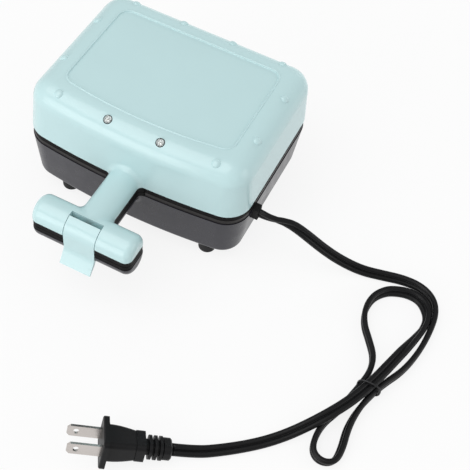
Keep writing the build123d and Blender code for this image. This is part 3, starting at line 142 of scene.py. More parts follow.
@dataclass(frozen=True)
class Coat:
    """A material that is being made.

    Attributes:
        tree: its tree.
        shader: its surface.
        place: where on the object its noises are read.
    """
    tree: Tree
    shader: Node
    place: Socket

    def feed(self, name: str, source: Node | Socket) -> None:
        """Feeds one of the shader's inputs."""
        self.tree.links.new(first(source), self.shader.inputs[name])

    def drift(self, noise: Pair, reach: Pair) -> Node:
        """A value that drifts over the surface.

        Args:
            noise: scale and detail of the noise.
            reach: the least and the greatest value.

        Returns:
            The node that gives the value.
        """
        patches = add(self.tree, "ShaderNodeTexNoise", {
            "Vector": self.place, "Scale": noise[0], "Detail": noise[1]})
        return add(self.tree, "ShaderNodeMapRange", {
            "Value": patches, "From Min": NOISE_SPAN[0], "From Max": NOISE_SPAN[1],
            "To Min": reach[0], "To Max": reach[1]})

    def emboss(self, place: Node | Socket, scale: float, depth: float) -> None:
        """Turns fine noise into a bump.

        Args:
            place: where the noise is read.
            scale: how many times the noise repeats in a unit of place.
            depth: height of the bump in millimetres.
        """
        fine = add(self.tree, "ShaderNodeTexNoise", {
            "Vector": place, "Scale": scale, "Detail": FINE_DETAIL})
        self.feed("Normal", add(self.tree, "ShaderNodeBump", {
            "Height": fine, "Strength": 1.0, "Distance": depth * MM}))


@dataclass(frozen=True)
class Finish:
    """A surface named for its real material.

    Attributes:
        name: the material's name.
        colour: sRGB hex.
        roughness: of the plain surface.
        ior: of the plain surface.
        metallic: 1 for bare metal.
        mottle: how far the colour drifts over a few centimetres, as a share.
        grain_mm: size of the fine texture.
        depth_mm: depth of the fine texture.
        gloss_drift: how far the roughness drifts.
        sheen: strength of the mirror part, where 0.5 is what the ior gives.
    """
    name: str
    colour: str
    roughness: float = 0.5
    ior: float = 1.5
    metallic: float = 0.0
    mottle: float = 0.03
    grain_mm: float = 0.5
    depth_mm: float = 0.01
    gloss_drift: float = 0.05
    sheen: float = 0.5

    def material(self) -> bpy.types.Material:
        """Builds the material, once.

        Returns:
            The material.
        """
        made = bpy.data.materials.get(self.name)
        if made is None:
            made = bpy.data.materials.new(self.name)
            made.use_nodes = True
            tree = made.node_tree
            shader = next(n for n in tree.nodes if n.type == "BSDF_PRINCIPLED")
            shader.inputs["Metallic"].default_value = self.metallic
            if not self.metallic:
                shader.inputs["IOR"].default_value = self.ior
                shader.inputs["Specular IOR Level"].default_value = self.sheen
            made.diffuse_color = srgb(self.colour)
            self.dress(Coat(tree, shader, add(tree, "ShaderNodeTexCoord").outputs["Object"]))
        return made

    def dress(self, coat: Coat) -> None:
        """Adds colour drift, gloss drift and grain.

        Args:
            coat: the material that is being made.
        """
        self.tint(coat)
        self.gloss(coat)
        self.grain(coat)

    def tint(self, coat: Coat) -> None:
        """Drifts the colour slowly over the surface."""
        value = coat.drift(COLOUR_PATCHES, (1 - self.mottle, 1 + self.mottle))
        coat.feed("Base Color", add(coat.tree, "ShaderNodeHueSaturation", {
            "Color": srgb(self.colour), "Value": value}))

    def gloss(self, coat: Coat) -> None:
        """Drifts the roughness, as handling and moulding leave it."""
        least = max(LEAST_ROUGHNESS, self.roughness - self.gloss_drift)
        coat.feed("Roughness", coat.drift(GLOSS_PATCHES, (least, self.roughness + self.gloss_drift)))

    def grain(self, coat: Coat) -> None:
        """Adds the fine texture as a bump."""
        coat.emboss(coat.place, 1 / (self.grain_mm * MM), self.depth_mm)


@dataclass(frozen=True)
class BrushedMetal(Finish):
    """Metal with fine lines drawn along one direction.

    Attributes:
        lines: the direction that the lines run in, as Euler angles of their X axis.
        line_mm: spacing of the lines.
        draw: the lines' width as a share of their length.
    """
    metallic: float = 1.0
    mottle: float = 0.04
    lines: Triple = (0.0, 0.0, 0.0)
    line_mm: float = 0.25
    draw: float = 0.03

    def grain(self, coat: Coat) -> None:
        """Stretches the grain into lines.

        Args:
            coat: the material that is being made.
        """
        turned = add(coat.tree, "ShaderNodeMapping", {"Vector": coat.place, "Rotation": self.lines},
                     vector_type="TEXTURE")
        stretched = add(coat.tree, "ShaderNodeVectorMath", {0: turned, 1: (self.draw, 1.0, 1.0)},
                        operation="MULTIPLY")
        coat.emboss(stretched, 1 / (self.line_mm * MM), self.depth_mm)


@dataclass(frozen=True)
class SprayedCoating(Finish):
    """Baked non-stick coating: dark, with pale flecks and an orange-peel skin."""
    fleck: str = "55534F"
    fleck_mm: float = 0.7
    fleck_edge: Pair = (0.10, 0.22)

    def tint(self, coat: Coat) -> None:
        """Scatters small flecks in the coat.

        Args:
            coat: the material that is being made.
        """
        cells = add(coat.tree, "ShaderNodeTexVoronoi", {
            "Vector": coat.place, "Scale": 1 / (self.fleck_mm * MM)})
        near = add(coat.tree, "ShaderNodeMapRange", {
            "Value": cells.outputs["Distance"], "From Min": self.fleck_edge[0],
            "From Max": self.fleck_edge[1], "To Min": 1.0, "To Max": 0.0})
        mix = add(coat.tree, "ShaderNodeMix", {
            "Factor": near, "A": srgb(self.colour), "B": srgb(self.fleck)}, data_type="RGBA")
        coat.feed("Base Color", mix.outputs["Result"])


@dataclass(frozen=True)
class ClearPlastic(Finish):
    """Clear moulded plastic, polished."""
    transmission: float = 1.0

    def dress(self, coat: Coat) -> None:
        """Adds faint moulding ripples to a clear body.

        Args:
            coat: the material that is being made.
        """
        for name, value in (("Base Color", srgb(self.colour)), ("Transmission Weight", self.transmission),
                            ("Roughness", self.roughness)):
            coat.shader.inputs[name].default_value = value
        self.grain(coat)


@dataclass(frozen=True)
class VinylJacket(Finish):
    """Extruded vinyl: fine lines run along the cord, and handling dulls it in patches."""
    line_count: float = 46.0
    lines_per_metre: float = 25.0

    def dress(self, coat: Coat) -> None:
        """Follows the cord's own UV map, metres along and turns round.

        Args:
            coat: the material that is being made.
        """
        along = add(coat.tree, "ShaderNodeUVMap", uv_map="jacket").outputs["UV"]
        spread = (self.lines_per_metre, self.line_count, 1.0)
        stretched = add(coat.tree, "ShaderNodeVectorMath", {0: along, 1: spread}, operation="MULTIPLY")
        coat.emboss(stretched, 1.0, self.depth_mm)
        self.tint(coat)
        self.gloss(coat)


# Glossy injection-moulded ABS: a clean highlight over an even pale body, with faint flow marks
AQUA_ABS = Finish("aqua_moulded_abs", "BEDBDD", roughness=0.2, mottle=0.008, grain_mm=0.6,
                  depth_mm=0.0006, gloss_drift=0.02)
# Charcoal ABS from a spark-eroded mould: a satin sheen broken up by fine pits
CHARCOAL_ABS = Finish(
    "charcoal_textured_abs", "1C1B27", roughness=0.3, ior=1.46, grain_mm=0.45, depth_mm=0.006)
# Heat-resistant nylon, black: duller than the ABS, with a slight bloom. Its colour is partly painted
# shade.
# The near-black colour and weak mirror part (sheen 0.15) stand for the deep shadow in the gaps at the lid
# frame, the handle strips and each lamp's dome.
BLACK_NYLON_AND_GAP_SHADE = Finish("black_nylon_and_painted_shade", "0A090A", roughness=0.55, ior=1.38, mottle=0.08,
                     grain_mm=0.4, depth_mm=0.006, sheen=0.15)
# The base frame's phenolic has a brown cast
PHENOLIC = Finish("brown_black_phenolic", "141010", roughness=0.42, ior=1.38, mottle=0.12, depth_mm=0.015)
# Non-stick coat on die-cast aluminium
NONSTICK = SprayedCoating(
    "nonstick_coated_cast_aluminium", "1D1C1C", roughness=0.34, ior=1.4, grain_mm=0.9, depth_mm=0.02)
# Zinc-plated steel screws and pins
ZINC_STEEL = BrushedMetal("zinc_plated_steel", "B9B8B4", roughness=0.34, depth_mm=0.004)
# Nickel-plated brass blades, warm from the brass beneath, drawn along their length, which follows
# the plug's pitch and yaw
PLUG_PITCH, PLUG_YAW = math.radians(-11.1), math.radians(206.5)
NICKEL_BLADE = BrushedMetal(
    "nickel_plated_brass", "CBC5C1", roughness=0.24, depth_mm=0.0025, lines=(0.0, PLUG_PITCH, PLUG_YAW))
# Oxidised stainless sheath of the elements
SHEATH = BrushedMetal("oxidised_stainless_sheath", "6E6862", roughness=0.45, depth_mm=0.006)
# Mill-finish aluminium sheet
SHEET_ALUMINIUM = BrushedMetal("mill_finish_aluminium", "C9CACC", roughness=0.38, depth_mm=0.006)
# Brass terminal screws
BRASS = BrushedMetal("bare_brass", "C8A25A", roughness=0.35, depth_mm=0.004)
# Steatite ceramic
STEATITE = Finish("unglazed_steatite", "E2DCCF", roughness=0.62, ior=1.55, depth_mm=0.02)
# Phenolic-paper board
PAPER_BOARD = Finish("phenolic_paper_board", "A5813F", mottle=0.06, grain_mm=0.6)
# Nitrile rubber feet: matte, with a dusty bloom
RUBBER = Finish(
    "black_nitrile_rubber", "111112", roughness=0.7, ior=1.42, mottle=0.12, grain_mm=0.6, depth_mm=0.03)
# Soft vinyl of the plug
PLUG_VINYL = Finish("black_moulded_vinyl", "08080A", roughness=0.46, ior=1.36, mottle=0.08, depth_mm=0.02)
# Extruded vinyl of the cord
CORD_VINYL = VinylJacket(
    "black_extruded_vinyl", "0A0A0C", roughness=0.42, ior=1.38, mottle=0.06, depth_mm=0.03, sheen=0.4)
# Clear epoxy of the lamps: a wet-looking dome that magnifies what is cast inside it
CLEAR_EPOXY = ClearPlastic("clear_cast_epoxy", "F4FAFA", roughness=0.05, grain_mm=2.0, depth_mm=0.001)
# Pale reflector moulded under each lamp's dome: matte, so that it stays light from every side
PALE_REFLECTOR = Finish("white_filled_polycarbonate", "F6F8F7", mottle=0.02, grain_mm=0.3, depth_mm=0.002)
# Silver-plated lead frame: bright, with a slight tarnish
SILVER_FRAME = Finish("silver_plated_copper", "C9C8C6", roughness=0.3, metallic=1.0, mottle=0.05,
                      grain_mm=0.2, depth_mm=0.002)
# Wire tie, plastic over steel: smooth and black with a soft highlight
TIE_PLASTIC = Finish("plastic_coated_tie_wire", "1A1A1C", roughness=0.32, ior=1.45, mottle=0.05,
                     grain_mm=0.4, depth_mm=0.004)

# Making pieces

# Edges that turn by more than this shade as sharp, on turned and on grown pieces
TURNED_CREASE, GROWN_CREASE = math.radians(40), math.radians(35)
# Faces round a turned piece, a screw's head, shank and thread, a ball, the bead and the tie's wire
TURNED_STEPS, HEAD_SIDES, SHANK_SIDES, THREAD_SIDES = 24, 32, 20, 4
BALL_SIDES, BEAD_SIDES, TIE_SIDES = 40, 14, 12
# Rings of the balls that round a screw's head and a dome
CROWN_RINGS, DOME_RINGS = 28, 24


def mesh_piece(name: str, points: Sequence[Vector], faces: Iterable[Sequence[int]],
               finish: Finish) -> Object:
    """Makes an object at the origin from points in the frame's metres.

    Args:
        name: the piece's name.
        points: vertices.
        faces: vertex indices of each face.
        finish: its finish.

    Returns:
        The object, linked to the scene.
    """
    data = bpy.data.meshes.new(name)
    data.from_pydata([tuple(p) for p in points], [], [tuple(f) for f in faces])
    data.validate()
    for face in data.polygons:
        face.use_smooth = True
    data.materials.append(finish.material())
    return linked(name, data)


def outward(piece: Object) -> None:
    """Turns a closed mesh's faces outwards.

    Args:
        piece: the object that has the mesh.
    """
    work = bmesh.new()
    work.from_mesh(piece.data)
    bmesh.ops.recalc_face_normals(work, faces=work.faces)
    work.to_mesh(piece.data)
    work.free()


def turned_piece(name: str, section: Section, foot: Vector, axis: Vector,
                 finish: Finish) -> Object:
    """Turns a half section about an axis into a closed piece.

    Args:
        name: the piece's name.
        section: radius and height in millimetres, from the axis round to the axis again.
        foot: where height 0 lies on the axis, in the frame's metres.
        axis: the axis, pointing up the heights.
        finish: the piece's finish.

    Returns:
        The piece, with its faces outwards.
    """
    side = axis.orthogonal().normalized()
    front = axis.cross(side).normalized()
    points, rows, steps = [], [], TURNED_STEPS
    for radius, height in section:
        centre = foot + axis * (height * MM)
        count = steps if radius > 0 else 1
        rows.append([len(points) + k for k in range(count)])
        for k in range(count):
            turn = 2 * math.pi * k / steps
            points.append(centre + (side * math.cos(turn) + front * math.sin(turn)) * (radius * MM))
    faces = []
    for low, high in zip(rows, rows[1:]):
        for k in range(steps):
            ring = [low[k % len(low)], low[(k + 1) % len(low)],
                    high[(k + 1) % len(high)], high[k % len(high)]]
            faces.append(list(dict.fromkeys(ring)))
    made = mesh_piece(name, points, faces, finish)
    made.data.set_sharp_from_angle(angle=TURNED_CREASE)
    outward(made)
    return made


def growing_tree(name: str, sizes: Sequence[str]) -> tuple[Tree, Node]:
    """Starts a Geometry Nodes tree with a seed mesh, named sizes and a material as its inputs.

    Args:
        name: the tree's name.
        sizes: names of its number inputs.

    Returns:
        The tree and its input node.
    """
    tree = bpy.data.node_groups.new(name, "GeometryNodeTree")
    tree.interface.new_socket("Seeds", in_out="INPUT", socket_type="NodeSocketGeometry")
    for size in sizes:
        tree.interface.new_socket(size, in_out="INPUT", socket_type="NodeSocketFloat")
    tree.interface.new_socket("Turn", in_out="INPUT", socket_type="NodeSocketVector")
    tree.interface.new_socket("Material", in_out="INPUT", socket_type="NodeSocketMaterial")
    tree.interface.new_socket("Piece", in_out="OUTPUT", socket_type="NodeSocketGeometry")
    return tree, tree.nodes.new("NodeGroupInput")


def finish_tree(tree: Tree, start: Node, piece: Node) -> Tree:
    """Ends a tree: real geometry in the piece's material.

    Args:
        tree: the tree.
        start: its input node.
        piece: the node that gives the piece.

    Returns:
        The tree.
    """
    real = add(tree, "GeometryNodeRealizeInstances", {0: piece})
    dressed = add(tree, "GeometryNodeSetMaterial", {
        "Geometry": real, "Material": start.outputs["Material"]})
    add(tree, "NodeGroupOutput", {0: dressed})
    return tree


def wire_tree(name: str, sides: int) -> Tree:
    """A tree that runs a round wire along the seed edges.

    Args:
        name: the tree's name.
        sides: faces round the wire.

    Returns:
        The tree, with the wire's radius as its input.
    """
    tree, start = growing_tree(name, ("Radius",))
    line = add(tree, "GeometryNodeMeshToCurve", {"Mesh": start.outputs["Seeds"]})
    section = add(tree, "GeometryNodeCurvePrimitiveCircle", {
        "Resolution": sides, "Radius": start.outputs["Radius"]})
    wire = add(tree, "GeometryNodeCurveToMesh", {"Curve": line, "Profile Curve": section})
    return finish_tree(tree, start, wire)


def grown_piece(name: str, tree: Tree, seeds: Sequence[Vector], values: dict[str, object],
                finish: Finish, ring: bool = False) -> Object:
    """Grows a piece from its seeds with a Geometry Nodes tree, as one plain mesh.

    Args:
        name: the piece's name.
        tree: the tree.
        seeds: seed vertices in the frame's metres.
        values: the tree's inputs by name.
        finish: the piece's finish.
        ring: whether edges join the seeds to a ring.

    Returns:
        The grown object at the origin, without its modifier.
    """
    data = bpy.data.meshes.new(name + "_seeds")
    edges = [(k, (k + 1) % len(seeds)) for k in range(len(seeds))] if ring else []
    data.from_pydata([tuple(p) for p in seeds], edges, [])
    host = linked(name + "_seeds", data)
    modifier = host.modifiers.new(tree.name, "NODES")
    modifier.node_group = tree
    for item in tree.interface.items_tree:
        if item.in_out == "INPUT" and item.name in values:
            modifier[item.identifier] = values[item.name]
        elif item.in_out == "INPUT" and item.name == "Material":
            modifier[item.identifier] = finish.material()
    plain = grown_mesh(host)
    bpy.data.objects.remove(host)
    bpy.data.meshes.remove(data)
    plain.name = name
    for face in plain.polygons:
        face.use_smooth = True
    plain.set_sharp_from_angle(angle=GROWN_CREASE)
    return linked(name, plain)


@dataclass
class SubAssembly:
    """Carried-over nodes of one sub-assembly, with their finishes."""
    title: str
    finishes: dict[str, Finish]

    def build(self) -> None:
        """Gives each node its finish."""
        for name, finish in self.finishes.items():
            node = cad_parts[name]
            material = finish.material()
            node.data.materials.clear()
            node.data.materials.append(material)
            log.info("%s: %s in %s", self.title, name, material.name)


# Screws

class Drive(Enum):
    """The recess in a screw's head: the length of its second bar as a share of the first."""
    CROSS = 1.0
    SLOT = 0.2


@dataclass(frozen=True)
class ScrewSize:
    """A screw's sizes in millimetres.

    Attributes:
        head: radius of the head.
        height: height of the head.
        shank: radius over the thread.
        length: from under the head to the tip.
        drive: the recess.
    """
    head: float
    height: float
    shank: float
    length: float
    drive: Drive = Drive.CROSS


@dataclass(frozen=True)
class ScrewGroup:
    """Screws that stand for one node.

    Attributes:
        node: the node.
        body: the body that they ride on.
        places: where they stand about the body's middle.
        level: height of the heads' outer faces.
        size: their sizes.
        tilt: degrees about X from pointing up.
        finish: their finish.
    """
    node: str
    body: str
    places: Sequence[Pair]
    level: float
    size: ScrewSize
    tilt: float = 0.0
    finish: Finish = ZINC_STEEL


@dataclass
class Screws:
    """Every screw of the appliance, grown from its place by one tree.

    Attributes:
        pitch: rise of the thread in a turn.
        thread: height of the thread.
        bar: width of the recess.
        bar_share: length of the recess as a share of the head's radius.
        crown: radius of the head's round top as a share of the head's radius.
        tip: radius of the point's end.
        spin: the most that a screw is turned about its axis, in radians.
        groups: the screws, node by node.
    """
    pitch: float = 1.1
    thread: float = 0.32
    bar: float = 0.55
    bar_share: float = 1.1
    crown: float = 1.6
    tip: float = 0.2
    spin: float = 3.1
    groups: tuple[ScrewGroup, ...] = ()

    def __post_init__(self) -> None:
        """Sets where each group stands."""
        corners = [(x, y) for x in (-56.5, 56.5) for y in (-38.5, 38.5)]
        sides = [(x, 0.0) for x in (-55.0, 55.0)]
        grips = [(x, -95.5) for x in (-20.0, 20.0)]
        bars = [(63.0, y) for y in (-35.3, -25.5)]
        blocks = [(-55.8, y) for y in (-10.0, 10.0)]
        middle = [(0.0, 0.0)]
        plate, clamp = ScrewSize(2.2, 1.5, 1.5, 5.6), ScrewSize(2.7, 1.9, 1.5, 7.2)
        down = 180.0
        self.groups = (
            ScrewGroup("case_screws", "base", corners, 12.6, ScrewSize(2.7, 1.9, 1.5, 19.3)),
            ScrewGroup("lid_screws", "lid", corners, 46.3, ScrewSize(2.7, 1.8, 1.5, 11.5)),
            ScrewGroup("upper_plate_screws", "lid", sides, 43.7, plate),
            ScrewGroup("lower_plate_screws", "base", sides, 42.7, plate, down),
            ScrewGroup("upper_handle_screws", "lid", grips, 43.6, ScrewSize(2.5, 1.5, 1.25, 6.8)),
            ScrewGroup("lower_handle_screws", "base", grips, 42.8, ScrewSize(2.5, 1.5, 1.25, 6.4), down),
            ScrewGroup("clamp_bar_screws", "base", bars, 31.55, ScrewSize(2.2, 1.5, 1.25, 6.0), down),
            ScrewGroup("upper_clamp_screw", "lid", middle, 68.6, clamp, down),
            ScrewGroup("lower_clamp_screw", "base", middle, 17.8, clamp),
            ScrewGroup("terminal_screws", "base", blocks, 17.9,
                       ScrewSize(2.2, 1.5, 1.25, 5.0, Drive.SLOT), down, BRASS),
        )

    def tree(self) -> Tree:
        """Grows a crowned head with its recess, a threaded shank and a point at each seed.

        Returns:
            The tree.
        """
        tree, start = growing_tree("pan_head_screw", (
            "head", "height", "shank", "length", "bar", "width", "cross", "thread", "pitch"))
        size = start.outputs
        height = size["height"]
        blank = add(tree, "GeometryNodeMeshCylinder", {
            "Vertices": HEAD_SIDES, "Radius": size["head"], "Depth": height})
        blank = self.raised(tree, blank, calc(tree, "MULTIPLY", height, 0.5))
        round_radius = calc(tree, "MULTIPLY", size["head"], self.crown)
        crown = add(tree, "GeometryNodeMeshUVSphere", {
            "Segments": BALL_SIDES, "Rings": CROWN_RINGS, "Radius": round_radius})
        crown = self.raised(tree, crown, round_radius)
        head = add(
            tree, "GeometryNodeMeshBoolean", {1: [blank, crown]}, operation="INTERSECT", solver="EXACT")
        bars = []
        for length, width in (("bar", "width"), ("width", "cross")):
            block = add(tree, "ShaderNodeCombineXYZ", {0: size[length], 1: size[width], 2: height})
            bars.append(add(tree, "GeometryNodeMeshCube", {"Size": block}))
        recess = add(
            tree, "GeometryNodeMeshBoolean", {0: head, 1: bars}, operation="DIFFERENCE", solver="EXACT")
        core = calc(tree, "SUBTRACT", size["shank"], size["thread"])
        straight = calc(tree, "SUBTRACT", size["length"], core)
        shank = add(tree, "GeometryNodeMeshCylinder", {
            "Vertices": SHANK_SIDES, "Radius": core, "Depth": straight})
        shank = self.raised(tree, shank, calc(tree, "MULTIPLY_ADD", straight, 0.5, height))
        point = add(tree, "GeometryNodeMeshCone", {
            "Vertices": SHANK_SIDES, "Radius Top": self.tip * MM, "Radius Bottom": core, "Depth": core})
        point = self.raised(tree, point, calc(tree, "ADD", straight, height))
        turns = calc(tree, "DIVIDE", straight, size["pitch"])
        helix = add(tree, "GeometryNodeCurveSpiral", {
            "Resolution": SHANK_SIDES, "Rotations": turns, "Start Radius": core, "End Radius": core,
            "Height": straight})
        section = add(tree, "GeometryNodeCurvePrimitiveCircle", {
            "Resolution": THREAD_SIDES, "Radius": size["thread"]})
        ridge = add(tree, "GeometryNodeCurveToMesh", {
            "Curve": helix, "Profile Curve": section, "Fill Caps": True})
        ridge = self.raised(tree, ridge, height)
        screw = add(tree, "GeometryNodeJoinGeometry", {0: [recess, shank, point, ridge]})
        placed = add(tree, "GeometryNodeInstanceOnPoints", {
            "Points": size["Seeds"], "Instance": screw, "Rotation": size["Turn"]})
        driven = add(tree, "FunctionNodeRandomValue", {
            "Min": (0.0, 0.0, 0.0), "Max": (0.0, 0.0, self.spin), "Seed": 7}, data_type="FLOAT_VECTOR")
        spun = add(tree, "GeometryNodeRotateInstances", {
            "Instances": placed, "Rotation": driven, "Local Space": True})
        return finish_tree(tree, start, spun)

    def raised(self, tree: Tree, piece: Node, height: Node | Socket) -> Node:
        """Moves a piece of the screw up its axis.

        Args:
            tree: the tree.
            piece: the node that makes the piece.
            height: how far.

        Returns:
            The node that gives the moved piece.
        """
        up = add(tree, "ShaderNodeCombineXYZ", {2: height})
        return add(tree, "GeometryNodeTransform", {"Geometry": piece, "Translation": up})

    def build(self) -> None:
        """Grows each group in place of its node."""
        tree = self.tree()
        for group in self.groups:
            size = group.size
            bar = size.head * self.bar_share
            sizes = {"head": size.head, "height": size.height, "shank": size.shank,
                     "length": size.length, "bar": bar, "width": self.bar,
                     "cross": bar * size.drive.value, "thread": self.thread, "pitch": self.pitch}
            values = {key: value * MM for key, value in sizes.items()}
            values["Turn"] = (math.radians(group.tilt), 0.0, 0.0)
            seeds = [at(x, y, group.level) for x, y in group.places]
            made = grown_piece(group.node + "_threaded", tree, seeds, values, group.finish)
            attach(made, group.body)
            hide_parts(group.node)
            log.info("screws: %s, %d", made.name, len(seeds))


# Relief on the lid

# Steps round each corner of the panel, and along half of its front
ARC_STEPS, FRONT_STEPS = 12, 20


@dataclass
class LidRelief:
    """Fine relief moulded with the lid: the bead that frames the panel, and the crowns of the domes.

    Attributes:
        panel: length, depth and front bow of the panel.
        corner: radius of the panel's corners.
        top: height of the lid's top.
        bead: radius of the bead, half sunk.
        dome: radius and height of a dome's crown.
        shoulder: height of the domes' feet.
        lean: degrees that the domes lean outwards.
        sides: each side's name, the way that its domes lean, and their places.
    """
    panel: Triple = (103.8, 67.2, 4.9)
    corner: float = 7.0
    top: float = 79.97
    bead: float = 0.62
    dome: Pair = (2.6, 1.75)
    shoulder: float = 78.5
    lean: float = 30.0
    sides: tuple[tuple[str, Triple, Section], ...] = (
        ("back", (-1, 0, 0), [(x, 41.45) for x in (-48.0, -16.0, 16.0, 48.0)]),
        ("front", (1, 0, 0), [(x, -44.24) for x in (-48.0, 48.0)]),
        ("left", (0, -1, 0), [(-60.15, y) for y in (17.0, -19.0)]),
        ("right", (0, 1, 0), [(60.15, y) for y in (17.0, -19.0)]))

    def rim(self) -> list[Vector]:
        """Goes once round the panel, along its bowed front edge too.

        Returns:
            Points on the panel's outline.
        """
        length, depth, bow = self.panel
        half, back = length / 2, depth / 2
        slant = math.atan(2 * bow / half)
        reach = half - self.corner * (1 - math.sin(slant))
        front = -back - bow * (1 - (reach / half) ** 2) + self.corner * math.cos(slant)
        quarter = [k / ARC_STEPS for k in range(ARC_STEPS + 1)]
        arcs = [(back - self.corner, math.radians(90 * (1 - share))) for share in quarter]
        arcs += [(front, -(math.pi / 2 - slant) * share) for share in quarter]
        side = [(half - self.corner + self.corner * math.cos(angle), level + self.corner * math.sin(angle))
                for level, angle in arcs]
        across = [reach * (1 - k / FRONT_STEPS) for k in range(1, 2 * FRONT_STEPS)]
        bowed = [(x, -back - bow * (1 - (x / half) ** 2)) for x in across]
        line = side + bowed + [(-x, y) for x, y in reversed(side)]
        return [at(x, y, self.top) for x, y in line]

    def dome_tree(self) -> Tree:
        """Grows a flattened ball on each seed, half sunk in the shoulder.

        Returns:
            The tree.
        """
        tree, start = growing_tree("dome_crown", ("Radius", "Flatness"))
        ball = add(tree, "GeometryNodeMeshUVSphere", {
            "Segments": BALL_SIDES, "Rings": DOME_RINGS, "Radius": start.outputs["Radius"]})
        shape = add(tree, "ShaderNodeCombineXYZ", {0: 1.0, 1: 1.0, 2: start.outputs["Flatness"]})
        placed = add(tree, "GeometryNodeInstanceOnPoints", {
            "Points": start.outputs["Seeds"], "Instance": ball, "Rotation": start.outputs["Turn"],
            "Scale": shape})
        return finish_tree(tree, start, placed)

    def build(self) -> None:
        """Moulds the bead and the crowns, in the lid's own plastic."""
        made = [grown_piece("panel_bead", wire_tree("bead_wire", BEAD_SIDES), self.rim(),
                            {"Radius": self.bead * MM}, AQUA_ABS, ring=True)]
        lean, tree = math.radians(self.lean), self.dome_tree()
        radius, height = self.dome
        for side, way, places in self.sides:
            values = {"Radius": radius * MM, "Flatness": height / radius,
                      "Turn": tuple(lean * share for share in way)}
            seeds = [at(x, y, self.shoulder) for x, y in places]
            made.append(grown_piece(f"{side}_dome_crowns", tree, seeds, values, AQUA_ABS))
        for piece in made:
            outward(piece)
            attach(piece, "lid")
            log.info("relief: %s", piece.name)


# Indicator lamps

@dataclass
class IndicatorLamps:
    """What shows through the two clear domes: a near-black ring of painted shadow round the foot, a pale
    reflector, a cup and a post.

    Attributes:
        spacing: between the lamps.
        level: place of the domes' feet, along Y and Z.
        tilt: degrees that the lamps lean forwards.
        drop: how far the cup stands below its section's own height.
        aside: how far the post stands to the right.
        shadow_ring, reflector, cup, post: their half sections. The shadow ring is a near-black piece that
            paints the shadow in the gap between the dome and its hole.
    """
    spacing: float = 32.0
    level: Pair = (-46.6, 78.5)
    tilt: float = 30.0
    drop: float = 0.35
    aside: float = 1.15
    shadow_ring: Section = ((0.0, -2.6), (2.3, -2.6), (2.3, -0.02), (1.65, -0.02), (1.65, -1.0), (0.0, -1.0))
    reflector: Section = ((0.0, -0.98), (1.5, -0.98), (1.5, -0.3), (1.35, -0.3), (1.1, -0.9), (0.0, -0.9))
    cup: Section = ((0.0, -0.9), (0.4, -0.9), (0.4, -0.6), (0.7, -0.25), (0.7, -0.05), (0.58, -0.05),
                    (0.3, -0.4), (0.0, -0.4))
    post: Section = ((0.0, -0.9), (0.22, -0.9), (0.22, 0.0), (0.14, 0.1), (0.0, 0.1))

    def build(self) -> None:
        """Casts both lamps' insides."""
        lean = math.radians(self.tilt)
        axis = Vector((0.0, -math.sin(lean), math.cos(lean)))
        for title, side in (("power", -1), ("ready", 1)):
            foot = at(side * self.spacing / 2, *self.level)
            # The first piece is a near-black ring of painted shadow for the shaded gap round the dome.
            pieces = (("shadow_ring", self.shadow_ring, foot, BLACK_NYLON_AND_GAP_SHADE),
                      ("reflector", self.reflector, foot, PALE_REFLECTOR),
                      ("cup", self.cup, foot + Vector((0, 0, -self.drop)) * MM, SILVER_FRAME),
                      ("post", self.post, foot + Vector((self.aside, 0, 0)) * MM, SILVER_FRAME))
            for part, section, place, finish in pieces:
                made = turned_piece(f"{title}_lamp_{part}", section, place, axis, finish)
                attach(made, "lid")
                log.info("lamps: %s", made.name)


# Cord

class Lay(Enum):
    """How the flat cord stands: the angle of its width above the floor, in degrees."""
    FLAT = 0.0
    EDGE = -88.0


# Steps and order of the route's spline, how many steps ahead the next corner is looked for, and
# steps along half of each core's round
ROUTE_STEPS, ROUTE_ORDER, ROUTE_SEARCH, LOBE_STEPS = 10, 3, 60, 6


def route_line(name: str, points: Sequence[Vector]) -> list[Vector]:
    """Reads points along the route's own NURBS spline.

    Args:
        name: the name of the curve while it lasts.
        points: its control points.

    Returns:
        Points along the spline, from first to last.
    """
    curve = bpy.data.curves.new(name, "CURVE")
    curve.dimensions = "3D"
    curve.resolution_u = ROUTE_STEPS
    spline = curve.splines.new("NURBS")
    spline.points.add(len(points) - 1)
    for corner, point in zip(spline.points, points):
        corner.co = (*point, 1.0)
    spline.order_u = ROUTE_ORDER
    spline.use_endpoint_u = True
    holder = linked(name, curve)
    traced = grown_mesh(holder)
    line = [v.co.copy() for v in traced.vertices]
    bpy.data.objects.remove(holder)
    bpy.data.curves.remove(curve)
    bpy.data.meshes.remove(traced)
    return line


